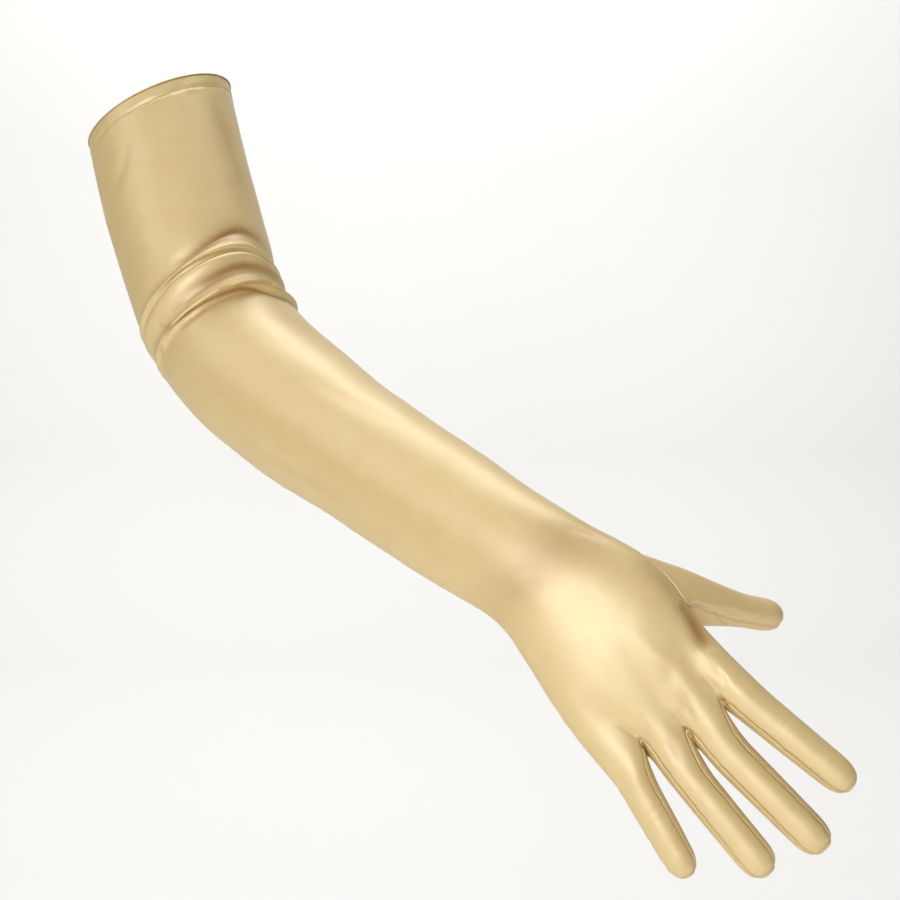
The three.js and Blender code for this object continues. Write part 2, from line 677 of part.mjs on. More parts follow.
// A closed body from some cells of the net: the outer face, the inner face and the cut edges.
function clothBody(cells, outerDepth, innerDepth) {
  const edgeUse = new Map();
  const neighbours = new Map();
  for (const { corners } of cells) {
    corners.forEach((a, i) => {
      const b = corners[(i + 1) % corners.length];
      edgeUse.set(`${a}|${b}`, [a, b]);
      for (const [from, to] of [[a, b], [b, a]]) {
        if (!neighbours.has(from)) neighbours.set(from, new Set());
        neighbours.get(from).add(to);
      }
    });
  }
  const cutEdges = [...edgeUse.values()].filter(([a, b]) => !edgeUse.has(`${b}|${a}`));
  const leaving = new Map(cutEdges);
  const arriving = new Map(cutEdges.map(([a, b]) => [b, a]));
  const inwards = (a, b, at) => {
    const edge = net.points[b].clone().sub(net.points[a]);
    return outward[at].clone().cross(edge).normalize();
  };
  const intoTheCloth = (index) => {
    const within = [...neighbours.get(index)].filter(
      (other) => edgeUse.has(`${index}|${other}`) && edgeUse.has(`${other}|${index}`),
    );
    const sum = new THREE.Vector3();
    for (const other of within) sum.add(net.points[other].clone().sub(net.points[index]).normalize());
    return sum.normalize();
  };
  const place = (index, depth) => {
    const point = net.points[index].clone();
    if (leaving.has(index)) {
      const one = inwards(arriving.get(index), index, index);
      const two = inwards(index, leaving.get(index), index);
      if (one.dot(two) < doublesBack) {
        point.addScaledVector(intoTheCloth(index), seamGap * doubledPull);
      } else {
        const mitre = Math.min(mitreLimit, 1 / (1 + one.dot(two)));
        point.addScaledVector(one.add(two), (seamGap / 2) * mitre);
      }
    }
    return point.addScaledVector(outward[index], -depth);
  };
  const order = [...neighbours.keys()];
  const slot = new Map(order.map((index, i) => [index, i]));
  const positions = [];
  for (const depth of [outerDepth, innerDepth]) {
    for (const index of order) positions.push(...place(index, depth).toArray());
  }
  const inside = order.length;
  const faces = [];
  for (const { corners } of cells) {
    const c = corners.map((index) => slot.get(index));
    for (let i = 1; i < c.length - 1; i += 1) {
      faces.push(c[0], c[i], c[i + 1]);
      faces.push(c[0] + inside, c[i + 1] + inside, c[i] + inside);
    }
  }
  for (const [a, b] of cutEdges) {
    const [p, q] = [slot.get(a), slot.get(b)];
    faces.push(q, p, p + inside, q, p + inside, q + inside);
  }
  const geometry = new THREE.BufferGeometry();
  geometry.setAttribute('position', new THREE.Float32BufferAttribute(positions, 3));
  geometry.setIndex(faces);
  geometry.computeVertexNormals();
  return geometry;
}

// The pieces.
const satin = (hex) => new THREE.MeshStandardMaterial({ color: hex, roughness: 0.42, metalness: 0 });
const glove = new THREE.Group();
function addPiece(name, geometry, hex) {
  const mesh = new THREE.Mesh(geometry, satin(hex));
  mesh.name = name;
  glove.add(mesh);
}
for (const name of ['trank', 'thumb', ...WEBS.map((web) => `fourchette_${web.name}`)]) {
  const cells = net.cells.filter((cell) => cell.piece === name);
  addPiece(name, clothBody(cells, 0, cloth), name === 'trank' ? 0xe2cd97 : 0xd8c084);
}
const hemPoints = new Set([...rings[0], ...rings[1]]);
const hemCells = net.cells.filter(({ corners }) => corners.every((index) => hemPoints.has(index)));
addPiece('hem', clothBody(hemCells, cloth + seamGap, cloth + seamGap + hemCloth), 0xd8c084);

export default glove;
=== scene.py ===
import math
from functools import partial

import bmesh
import bpy
from mathutils import Matrix, Vector
from mathutils.bvhtree import BVHTree
from mathutils.kdtree import KDTree
from mathutils.noise import noise


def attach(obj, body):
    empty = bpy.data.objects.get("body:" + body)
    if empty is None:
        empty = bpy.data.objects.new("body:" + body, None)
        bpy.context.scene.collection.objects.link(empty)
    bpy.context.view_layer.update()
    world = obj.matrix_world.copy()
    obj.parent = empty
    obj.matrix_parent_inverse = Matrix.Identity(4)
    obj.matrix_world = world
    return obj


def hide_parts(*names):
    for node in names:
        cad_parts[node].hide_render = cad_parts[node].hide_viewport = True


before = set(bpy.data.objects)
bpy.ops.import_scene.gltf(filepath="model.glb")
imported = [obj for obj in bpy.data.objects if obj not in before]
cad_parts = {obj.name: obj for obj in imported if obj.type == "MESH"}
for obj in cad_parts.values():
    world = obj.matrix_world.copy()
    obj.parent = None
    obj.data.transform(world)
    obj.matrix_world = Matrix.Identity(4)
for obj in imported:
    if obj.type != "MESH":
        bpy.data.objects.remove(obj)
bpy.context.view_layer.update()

MM = 0.001

# Lengths along the middle of arm and hand, in millimetres, as the solids have them.
HEM_DEPTH = 9.0
UPPER_ARM = 142.5
FOREARM = 235.0
WRIST_BEND = 20.0
PALM = 95.0
FORK_DEPTH = 18.0
WRIST_LINE = UPPER_ARM + FOREARM
HAND_START = WRIST_LINE + WRIST_BEND
KNUCKLE_LINE = WRIST_LINE + PALM
FORK_LINE = KNUCKLE_LINE + FORK_DEPTH

# Widths across and thicknesses through.
ARM_OPENING = {"width": 85.5, "thickness": 82.0}
UPPER_ARM_MIDDLE = {"width": 85.0, "thickness": 82.0}
ELBOW = {"width": 81.0, "thickness": 78.0}
BELOW_ELBOW = {"width": ELBOW["width"] * 0.965, "thickness": ELBOW["thickness"] * 0.96}
FOREARM_MIDDLE = {"width": 70.0, "thickness": 64.0}
WRIST = {"width": 60.0, "thickness": 42.0}
PALM_THICKNESS = 32.0
KNUCKLE_THICKNESS = 25.0
CLOTH = 1.0

# The slant of the arm opening.
HEM_DROP_FRONT = 6.0
HEM_RISE_INNER = 10.5

# The folds at the crook of the elbow.
FOLD_REACH = 50.0
FOLD_HEIGHT = 4.5

# The thumb.
THUMB = {
    "length": 67.5, "root_width": 30.0, "root_thickness": 26.0, "width": 16.0, "thickness": 17.0,
    "splay": 27.0, "bend": 13.0, "drop": 29.0,
    "narrowing": 1.3, "evening": 1.4, "settling": 1.25, "settle_power": 1.5,
}

# The little finger, the ring finger, the middle finger and the index finger.
FINGERS = [
    {"length": 51.5, "width": 17.2, "tip": 13.6, "thickness": 16.0, "splay": -13.8, "gap": 0.0},
    {"length": 72.5, "width": 17.9, "tip": 16.6, "thickness": 17.5, "splay": -4.0, "gap": 4.8},
    {"length": 81.0, "width": 19.2, "tip": 16.8, "thickness": 18.0, "splay": 1.5, "gap": 1.3},
    {"length": 70.5, "width": 18.4, "tip": 15.4, "thickness": 17.5, "splay": 7.0, "gap": 3.8},
]
MIDDLE_FINGER = 2
MIDDLE_OFFSET = 4.3
TIP_REACH = 9.0
FINGER_CURL = 3.0

# Where each web starts on the back of the hand and ends on the palm, past the knuckle line.
WEBS = [
    {"name": "little_ring", "back": -8.3, "front": -1.0, "back_shift": 3.5, "front_shift": 0.0},
    {"name": "ring_middle", "back": 2.4, "front": 12.0, "back_shift": 3.6, "front_shift": 0.6},
    {"name": "middle_index", "back": 3.4, "front": 7.0, "back_shift": 3.0, "front_shift": 0.4},
]
WEB_HEIGHT = 5.5

# How the arm turns, by distance down its middle: slope in the picture's plane, lean to the viewer.
PATH = [
    {"at": 0, "slope": 77, "lean": 14},
    {"at": UPPER_ARM * 0.3, "slope": 73.5, "lean": 15},
    {"at": UPPER_ARM * 0.65, "slope": 71.5, "lean": 17},
    {"at": UPPER_ARM * 0.86, "slope": 67, "lean": 19},
    {"at": UPPER_ARM, "slope": 58, "lean": 21},
    {"at": UPPER_ARM + FOREARM * 0.085, "slope": 47, "lean": 24},
    {"at": UPPER_ARM + FOREARM * 0.17, "slope": 38.5, "lean": 28},
    {"at": UPPER_ARM + FOREARM * 0.28, "slope": 36.5, "lean": 31},
    {"at": UPPER_ARM + FOREARM * 0.43, "slope": 33, "lean": 33},
    {"at": UPPER_ARM + FOREARM * 0.64, "slope": 32.5, "lean": 34},
    {"at": UPPER_ARM + FOREARM * 0.85, "slope": 31, "lean": 34},
    {"at": WRIST_LINE - WRIST_BEND * 0.35, "slope": 31.5, "lean": 30},
    {"at": WRIST_LINE + WRIST_BEND * 0.35, "slope": 38, "lean": 22},
    {"at": HAND_START, "slope": 46.5, "lean": 11},
]

# The cells of the cloth before it is divided finer.
FINGER_CELLS = 4
SIDE_CELLS = 4
RING_CELLS = 8 * FINGER_CELLS + 2 * SIDE_CELLS
BACK_CELLS = 4 * FINGER_CELLS
PALM_RINGS = 8
ARM_RING_STEP = 12.5
FOLD_STEPS = 2
FINGER_RINGS = [0.08, 0.16, 0.25, 0.34, 0.43, 0.52, 0.61, 0.7, 0.79, 0.87, 0.935, 0.975, 0.993]
THUMB_RINGS = [0.1, 0.19, 0.28, 0.37, 0.46, 0.55, 0.64, 0.73, 0.81, 0.88, 0.94, 0.977, 0.993]
PANELS = ["trank", "thumb"] + [f"fourchette_{web['name']}" for web in WEBS]


def lerp(a, b, share):
    return a + (b - a) * share


def smooth(share):
    s = min(1.0, max(0.0, share))
    return s * s * (3 - 2 * s)


def span_at(rows, at):
    i = 0
    while i < len(rows) - 2 and rows[i + 1]["at"] <= at:
        i += 1
    share = (at - rows[i]["at"]) / (rows[i + 1]["at"] - rows[i]["at"])
    return i, min(1.0, max(0.0, share))


def straight(rows, column, at):
    """A table's value at a distance, straight between its rows."""
    i, share = span_at(rows, at)
    return lerp(rows[i][column], rows[i + 1][column], share)


def rounded(rows, column, at):
    """A table's value at a distance, on a smooth curve through its rows."""
    i, share = span_at(rows, at)

    def rise(k):
        a = rows[max(0, k - 1)]
        b = rows[min(len(rows) - 1, k + 1)]
        return (b[column] - a[column]) / (b["at"] - a["at"])

    span = rows[i + 1]["at"] - rows[i]["at"]
    s2 = share * share
    s3 = s2 * share
    return (
        rows[i][column] * (2 * s3 - 3 * s2 + 1)
        + rows[i + 1][column] * (3 * s2 - 2 * s3)
        + rise(i) * span * (s3 - 2 * s2 + share)
        + rise(i + 1) * span * (s3 - s2)
    )


# The middle line of the arm and the frame that its sections lie in.
PATH_STEP = 2.0
FRAME_BLUR = 8.0
TOWARDS_VIEWER = Vector((0, -1, 0))


def direction_at(at):
    slope = math.radians(straight(PATH, "slope", at))
    lean = math.radians(straight(PATH, "lean", at))
    return Vector((math.cos(lean) * math.cos(slope), -math.sin(lean), -math.cos(lean) * math.sin(slope)))


def walk_the_spine():
    spine = [Vector()]
    while (len(spine) - 1) * PATH_STEP < FORK_LINE:
        spine.append(spine[-1] + direction_at((len(spine) - 0.5) * PATH_STEP) * PATH_STEP)
    return spine


SPINE = walk_the_spine()


def centre_at(at):
    if at < 0:
        return direction_at(0) * at
    place = min(len(SPINE) - 1.001, at / PATH_STEP)
    i = int(place)
    return SPINE[i].lerp(SPINE[i + 1], place - i)


def frame_at(at):
    """The directions along the arm, out of the back of the hand, and towards the thumb's side."""
    along = (direction_at(at - FRAME_BLUR) + direction_at(at) + direction_at(at + FRAME_BLUR)).normalized()
    back = (TOWARDS_VIEWER - along * TOWARDS_VIEWER.dot(along)).normalized()
    return along, back, back.cross(along)


def turn_towards(start, end, degrees):
    return start * math.cos(math.radians(degrees)) + end * math.sin(math.radians(degrees))


def space_the_fingers():
    """Each finger's place across the hand, set out from the middle finger."""
    FINGERS[MIDDLE_FINGER]["across"] = MIDDLE_OFFSET
    for k in range(MIDDLE_FINGER + 1, len(FINGERS)):
        before, here = FINGERS[k - 1], FINGERS[k]
        here["across"] = before["across"] + (before["width"] + here["width"]) / 2 + here["gap"]
    for k in range(MIDDLE_FINGER - 1, -1, -1):
        after, here = FINGERS[k + 1], FINGERS[k]
        here["across"] = after["across"] - (after["width"] + here["width"]) / 2 - after["gap"]


space_the_fingers()


def across_at(finger, at):
    return finger["across"] + (at - FORK_LINE) * math.tan(math.radians(finger["splay"]))


OUTER_EDGE = across_at(FINGERS[0], KNUCKLE_LINE) - FINGERS[0]["width"] / 2
INNER_EDGE = across_at(FINGERS[3], KNUCKLE_LINE) + FINGERS[3]["width"] / 2 + CLOTH


def hand_section(share, outer, inner, thickness, square):
    return {
        "at": lerp(HAND_START, KNUCKLE_LINE, share),
        "width": INNER_EDGE * inner - OUTER_EDGE * outer,
        "shift": (INNER_EDGE * inner + OUTER_EDGE * outer) / 2,
        "thickness": thickness,
        "square": square,
    }


def arm_section(at, start, end=None, width_share=0.0, thickness_share=0.0):
    end = end or start
    return {
        "at": at,
        "width": lerp(start["width"], end["width"], width_share),
        "shift": 0.0,
        "thickness": lerp(start["thickness"], end["thickness"], thickness_share),
        "square": 1.0,
    }


SECTIONS = [
    arm_section(0, ARM_OPENING),
    arm_section(UPPER_ARM * 0.5, UPPER_ARM_MIDDLE),
    arm_section(UPPER_ARM, ELBOW),
    arm_section(UPPER_ARM + FOREARM * 0.18, BELOW_ELBOW),
    arm_section(UPPER_ARM + FOREARM * 0.3, ELBOW, FOREARM_MIDDLE, 0.45, 0.45),
    arm_section(UPPER_ARM + FOREARM * 0.47, FOREARM_MIDDLE),
    arm_section(UPPER_ARM + FOREARM * 0.75, FOREARM_MIDDLE, WRIST, 0.5, 0.45),
    arm_section(WRIST_LINE, WRIST),
    hand_section(0, 0.785, 1.02, PALM_THICKNESS * 1.12, 0.95),
    hand_section(0.24, 0.86, 1.13, PALM_THICKNESS * 1.06, 0.88),
    hand_section(0.45, 0.93, 1.08, PALM_THICKNESS, 0.84),
    hand_section(0.68, 0.97, 1.01, lerp(PALM_THICKNESS, KNUCKLE_THICKNESS, 0.6), 0.82),
    hand_section(1, 1, 1, KNUCKLE_THICKNESS, 0.82),
]


def powered(value, power):
    return math.copysign(abs(value) ** power, value)


def section_point(at, angle, lift):
    _, back, inner = frame_at(at)
    square = straight(SECTIONS, "square", at)
    half_width = rounded(SECTIONS, "width", at) / 2 + lift
    half_thickness = rounded(SECTIONS, "thickness", at) / 2 + lift
    sideways = rounded(SECTIONS, "shift", at) + half_width * powered(math.cos(angle), square)
    return centre_at(at) + inner * sideways + back * (half_thickness * powered(math.sin(angle), square))


# The fold lines of the elbow, from the top one down: at six places round the arm, the height above
# the elbow line as a share of the folds' reach, and how far it stands out as a share of their height.
FOLD_PLACES = {"right": 10, "crook": 45, "front": 90, "left": 135, "outer": 205, "rear": 300}
FOLDS = [
    {"up": (0.76, 0.98, 0.8, 0.62, 0.5, 0.66), "out": (-0.1, -0.05, 0, 0, 0, 0)},
    {"up": (0.6, 0.81, 0.62, 0.46, 0.38, 0.53), "out": (-0.5, -0.65, -0.45, -0.25, 0, -0.2)},
    {"up": (0.5, 0.65, 0.52, 0.37, 0.29, 0.44), "out": (0.15, 0.8, 0.75, 0.5, 0.08, 0.45)},
    {"up": (0.43, 0.57, 0.465, 0.315, 0.24, 0.37), "out": (-0.1, -0.1, -0.1, -0.1, 0, -0.05)},
    {"up": (0.33, 0.5, 0.405, 0.255, 0.19, 0.3), "out": (0.25, 0.85, 0.75, 0.5, 0.08, 0.5)},
    {"up": (0.16, 0.29, 0.155, 0.11, 0.07, 0.16), "out": (-0.5, -0.65, -0.5, -0.25, 0, -0.2)},
    {"up": (-0.07, 0.08, 0.06, 0.04, -0.01, 0.0), "out": (0.2, 0.45, 0.35, 0.15, 0, 0.25)},
    {"up": (-0.135, 0.01, 0.0, -0.005, -0.07, -0.05), "out": (0.6, 1.1, 0.95, 0.42, 0, 0.5)},
    {"up": (-0.135, 0.04, 0.03, -0.025, -0.1, -0.07), "out": (0.05, 0.25, 0.2, 0.05, 0, 0.1)},
    {"up": (-0.18, -0.02, -0.03, -0.065, -0.135, -0.11), "out": (-0.4, -0.45, -0.4, -0.2, 0, -0.15)},
    {"up": (-0.24, -0.115, -0.11, -0.135, -0.19, -0.175), "out": (-0.15, -0.05, 0, 0, 0, 0)},
]


def round_the_arm(values, angle):
    """A fold's value at an angle round the arm, smooth through its six places."""
    places = list(FOLD_PLACES.values())
    rows = [{"at": place, "value": value} for place, value in zip(places, values)]
    loop = [{**rows[-1], "at": places[-1] - 360}, *rows]
    loop += [{**rows[0], "at": places[0] + 360}, {**rows[1], "at": places[1] + 360}]
    turned = (math.degrees(angle) - places[0]) % 360 + places[0]
    return rounded(loop, "value", turned)


def fold_value(key, row, angle):
    """A fold line's value between two rows of the table, smooth from row to row."""
    rows = [{"at": i, "value": round_the_arm(fold[key], angle)} for i, fold in enumerate(FOLDS)]
    return rounded(rows, "value", row)


FOLD_TOP = UPPER_ARM - FOLD_REACH
FOLD_FOOT = UPPER_ARM + FOLD_REACH * 0.25
SLANT_END = FOLD_TOP * 0.75
PLAIN_SLEEVE_END = FOLD_TOP * 0.8
HEM_CRISP = 1.2


def hem_slant(angle):
    return HEM_DROP_FRONT * math.sin(angle) - HEM_RISE_INNER * math.cos(angle)


def slanted_ring(at):
    fade = max(0.0, 1 - at / SLANT_END)
    return lambda angle: (at + hem_slant(angle) * fade, 0.0)


def fold_ring(row):
    def place(angle):
        up = fold_value("up", row, angle)
        return UPPER_ARM - FOLD_REACH * up, FOLD_HEIGHT * fold_value("out", row, angle)

    return place


def plain_ring(at):
    return lambda angle: (at, 0.0)


def even_steps(start, end, step):
    """Places between two lines, about a step apart, without the lines themselves."""
    count = max(1, round((end - start) / step))
    return [lerp(start, end, i / count) for i in range(1, count)]


def sleeve_rings():
    hem_lines = [0, HEM_DEPTH * 0.4, HEM_DEPTH - HEM_CRISP, HEM_DEPTH, HEM_DEPTH + HEM_CRISP]
    slanted = hem_lines + even_steps(HEM_DEPTH, PLAIN_SLEEVE_END, ARM_RING_STEP)
    rings = [slanted_ring(at) for at in slanted]
    last_row = len(FOLDS) - 1
    rings += [fold_ring(i / FOLD_STEPS) for i in range(last_row * FOLD_STEPS + 1)]
    rings += [plain_ring(at) for at in even_steps(FOLD_FOOT, HAND_START, ARM_RING_STEP)]
    return rings


# Columns run from the little finger's side across the back of the hand, and back over the palm.
CORNER_ANGLE = 180 * SIDE_CELLS / RING_CELLS


def column_angle(j):
    return math.radians(180 - CORNER_ANGLE - 360 * j / RING_CELLS)


def hand_point(at, across, height):
    _, back, inner = frame_at(at)
    return centre_at(at) + inner * across + back * height


# The line where the fingers fork from the hand, and how it rises over each knuckle.
EDGE_INSET = 1.5
KNUCKLE_RISE = 1.5
KNUCKLE_ROUNDNESS = 0.8


def edge_place(k, height):
    across = OUTER_EDGE + EDGE_INSET if k == 0 else INNER_EDGE - EDGE_INSET
    return Vector((KNUCKLE_LINE, across, height))


def web_end(k, side):
    """Where finger k starts across the hand: distance along, place across and height."""
    sign = 1 if side == "back" else -1
    if k in (0, len(FINGERS)):
        return edge_place(k, sign * WEB_HEIGHT)
    web = WEBS[k - 1]
    at = KNUCKLE_LINE + web[side]
    left = across_at(FINGERS[k - 1], at) + FINGERS[k - 1]["width"] / 2
    right = across_at(FINGERS[k], at) - FINGERS[k]["width"] / 2
    return Vector((at, (left + right) / 2 + web[side + "_shift"], sign * WEB_HEIGHT))


def fork_place(k, side, share):
    place = web_end(k, side).lerp(web_end(k + 1, side), share)
    height = FINGERS[k]["thickness"] / 2 + KNUCKLE_RISE - WEB_HEIGHT
    rise = height * math.sin(math.pi * share) ** KNUCKLE_ROUNDNESS
    place.z += rise if side == "back" else -rise
    return place


def fork_place_of_column(j):
    if j <= BACK_CELLS:
        k = min(len(FINGERS) - 1, j // FINGER_CELLS)
        return fork_place(k, "back", j / FINGER_CELLS - k)
    over_palm = j - BACK_CELLS - SIDE_CELLS
    if 0 <= over_palm <= BACK_CELLS:
        from_index = min(len(FINGERS) - 1, over_palm // FINGER_CELLS)
        k = len(FINGERS) - 1 - from_index
        return fork_place(k, "front", 1 - (over_palm / FINGER_CELLS - from_index))
    inner = over_palm < 0
    turn = math.pi * (j - BACK_CELLS if inner else over_palm - BACK_CELLS) / SIDE_CELLS
    sign = 1 if inner else -1
    place = edge_place(len(FINGERS) if inner else 0, WEB_HEIGHT * math.cos(turn) * sign)
    place.y += EDGE_INSET * math.sin(turn) * sign
    return place


# Rings of cells, grown one from another by extruding their edges.
def next_ring(cloth, ring, places, panel_of, uv, across, along, sewn=()):
    """Grows a ring of cloth by one row of cells, each marked with its panel; sewn columns carry a seam."""
    count = len(ring)
    edges = [cloth.edges.get((ring[j], ring[(j + 1) % count])) for j in range(count)]
    made = bmesh.ops.extrude_edge_only(cloth, edges=edges)["geom"]
    fresh = {part for part in made if isinstance(part, bmesh.types.BMVert)}
    grown = []
    for vert, place in zip(ring, places):
        twin = next(e.other_vert(vert) for e in vert.link_edges if e.other_vert(vert) in fresh)
        twin.co = place
        grown.append(twin)
    for j in range(count):
        k = (j + 1) % count
        cell = cloth.edges.get((grown[j], grown[k])).link_faces[0]
        cell[uv["panel"]] = PANELS.index(panel_of(j))
        spots = {ring[j]: (j, 0), ring[k]: (j + 1, 0), grown[j]: (j, 1), grown[k]: (j + 1, 1)}
        for corner in cell.loops:
            column, row = spots[corner.vert]
            corner[uv["map"]].uv = (column * across * MM, along[row] * MM)
    for j in sewn:
        cloth.edges.get((ring[j], grown[j])).seam = True
    return grown


def new_cloth():
    cloth = bmesh.new()
    return cloth, {"panel": cloth.faces.layers.int.new("panel"), "map": cloth.loops.layers.uv.new("weave")}


def grow_tube(cloth, rows, uv, sewn=()):
    """A tube of cloth, grown from its first ring row by row."""
    ring = bmesh.ops.create_circle(cloth, segments=RING_CELLS, radius=1)["verts"]
    for vert, place in zip(ring, rows[0]["points"]):
        vert.co = place
    rings = [ring]
    for before, row in zip(rows, rows[1:]):
        along = (before["at"], row["at"])
        ring = next_ring(cloth, ring, row["points"], lambda j: "trank", uv, ARM_CELL_ACROSS, along, sewn)
        rings.append(ring)
    return rings


def grow_digit(cloth, loop, uv, shares, place, panel_of, start, length, sewn):
    """Carries a loop along a finger or the thumb, to the last ring before its tip."""
    rings = [loop]
    before = 0.0
    for share in shares:
        points = [place(j, share) for j in range(len(loop))]
        along = (start + length * before, start + length * share)
        panel = partial(panel_of, share)
        rings.append(next_ring(cloth, rings[-1], points, panel, uv, FINGER_CELL_ACROSS, along, sewn))
        before = share
    return rings


THUMB_HOLE = {
    "first_ring": 1, "last_ring": 4,
    "first_column": BACK_CELLS + 1, "last_column": BACK_CELLS + SIDE_CELLS + 4,
}
FORK_BLEND = 0.5
ARM_CELL_ACROSS = 6.4
FINGER_CELL_ACROSS = 2.3

# The seam that closes the sleeve and palm runs up the little finger's side, to its tip.
SLEEVE_SEAM_COLUMN = 2 * BACK_CELLS + SIDE_CELLS + SIDE_CELLS // 2
LITTLE_FINGER_SEAM_COLUMN = 2 * FINGER_CELLS + SIDE_CELLS + SIDE_CELLS // 2
THUMB_SEAM_ANGLE = math.radians(124)
TIP_SEAM_RING = -2
SIDES_OF_THUMB = 4


def build_hand_and_arm(cloth, uv):
    """Sleeve and palm as one tube, from the hem to the line where the fingers fork."""
    columns = range(RING_CELLS)
    fork_places = [fork_place_of_column(j) for j in columns]
    fork_points = [hand_point(*place) for place in fork_places]
    rows = []
    for ring in sleeve_rings():
        places = [ring(column_angle(j)) for j in columns]
        points = [section_point(at, column_angle(j), lift) for j, (at, lift) in zip(columns, places)]
        rows.append({"points": points, "at": sum(at for at, _ in places) / RING_CELLS})
    palm_start = len(rows)
    for i in range(PALM_RINGS):
        points = []
        for j in columns:
            angle = column_angle(j)
            plain = section_point(lerp(HAND_START, fork_places[j].x, i / PALM_RINGS), angle, 0)
            drift = fork_points[j] - section_point(fork_places[j].x, angle, 0)
            points.append(plain + drift * smooth((i / PALM_RINGS - FORK_BLEND) / (1 - FORK_BLEND)))
        rows.append({"points": points, "at": lerp(HAND_START, KNUCKLE_LINE, i / PALM_RINGS)})
    rows.append({"points": fork_points, "at": KNUCKLE_LINE})
    return grow_tube(cloth, rows, uv, (SLEEVE_SEAM_COLUMN,)), palm_start


def cut_thumb_hole(cloth, rings, palm_start):
    """Opens the palm's side for the thumb and returns the hole's edge as a loop."""
    hole = THUMB_HOLE
    rows = [rings[palm_start + i] for i in range(hole["first_ring"], hole["last_ring"] + 1)]
    first, last = hole["first_column"], hole["last_column"]
    loop = rows[0][first:last] + [row[last] for row in rows[:-1]]
    loop += rows[-1][last:first:-1] + [row[first] for row in rows[:0:-1]]
    inside = []
    for upper, lower in zip(rows, rows[1:]):
        for j in range(first, last):
            corners = {upper[j], upper[j + 1], lower[j], lower[j + 1]}
            inside += [face for face in upper[j].link_faces if set(face.verts) == corners]
    bmesh.ops.delete(cloth, geom=inside, context="FACES")
    return loop


def string_webs(cloth, fork_ring):
    """Lays an edge from back to palm at each web, cut into cells, for the two fingers beside it."""
    lines = []
    for k in range(1, len(FINGERS)):
        start = fork_ring[k * FINGER_CELLS]
        end = fork_ring[BACK_CELLS + SIDE_CELLS + (len(FINGERS) - k) * FINGER_CELLS]
        edge = cloth.edges.new((start, end))
        line = [start]
        for left in range(SIDE_CELLS, 1, -1):
            _, vert = bmesh.utils.edge_split(edge, line[-1], 1 / left)
            line.append(vert)
            edge = cloth.edges.get((vert, end))
        lines.append([*line, end])
    return lines


def finger_loop(k, fork_ring, web_lines):
    back_start = k * FINGER_CELLS
    palm_start = BACK_CELLS + SIDE_CELLS + (len(FINGERS) - 1 - k) * FINGER_CELLS
    back = fork_ring[back_start:back_start + FINGER_CELLS]
    palm = fork_ring[palm_start:palm_start + FINGER_CELLS]
    if k == len(FINGERS) - 1:
        inner = fork_ring[BACK_CELLS:BACK_CELLS + SIDE_CELLS]
    else:
        inner = web_lines[k][:SIDE_CELLS]
    if k == 0:
        outer = fork_ring[2 * BACK_CELLS + SIDE_CELLS:]
    else:
        outer = web_lines[k - 1][:0:-1]
    return back + inner + palm + outer


ROOT_CORNER = 47.0
TIP_CORNER = 30.0
TAPER_POWER = 1.5
ROOT_FULLNESS = 1.04
TIP_FULLNESS = 0.84
TIP_POWER = 2.05


def finger_angle(j, share):
    corner = lerp(ROOT_CORNER, TIP_CORNER, share)
    if j <= FINGER_CELLS:
        return lerp(180 - corner, corner, j / FINGER_CELLS)
    if j <= FINGER_CELLS + SIDE_CELLS:
        return lerp(corner, -corner, (j - FINGER_CELLS) / SIDE_CELLS)
    palm_side = j - FINGER_CELLS - SIDE_CELLS
    if palm_side <= FINGER_CELLS:
        return lerp(-corner, corner - 180, palm_side / FINGER_CELLS)
    return lerp(corner - 180, -180 - corner, (palm_side - FINGER_CELLS) / SIDE_CELLS)


def tip_falloff(share):
    return (1 - min(1.0, share) ** TIP_POWER) ** (1 / TIP_POWER)


def close_tip(cloth, ring, arc, panel, uv):
    """Fills a tip with a grid of cells between its back and its palm side."""
    count = len(ring)
    start = count // 2
    arcs = [range(arc), range(start, start + arc)]
    edges = [cloth.edges.get((ring[j], ring[(j + 1) % count])) for span in arcs for j in span]
    made = bmesh.ops.grid_fill(cloth, edges=edges)["faces"]
    for face in made:
        face[uv["panel"]] = PANELS.index(panel)
    for face in made:
        for corner in face.loops:
            corner[uv["map"]].uv = (corner.vert.co.x * MM, corner.vert.co.z * MM)


def finger_axis(finger):
    """A finger's root on the knuckle line, and its directions along, towards the thumb's side and back."""
    hand_along, back, hand_inner = frame_at(FORK_LINE)
    along = turn_towards(hand_along, hand_inner, finger["splay"])
    return hand_point(KNUCKLE_LINE, across_at(finger, KNUCKLE_LINE), 0), along, back.cross(along), back


def finger_point(finger, at, degrees):
    """The cloth round a finger, at a distance from its root and an angle from the thumb's side."""
    root, along, inner, back = finger_axis(finger)
    length = finger["length"]
    share = max(0.0, at / length)
    round_tip = tip_falloff(max(0.0, (at - length + TIP_REACH) / TIP_REACH))
    half_width = lerp(finger["width"], finger["tip"], share**TAPER_POWER) / 2 * round_tip
    half_thickness = finger["thickness"] / 2 * lerp(ROOT_FULLNESS, TIP_FULLNESS, share) * round_tip
    angle = math.radians(degrees)
    height = half_thickness * math.sin(angle) - FINGER_CURL * share**2
    return root + along * at + inner * (half_width * math.cos(angle)) + back * height


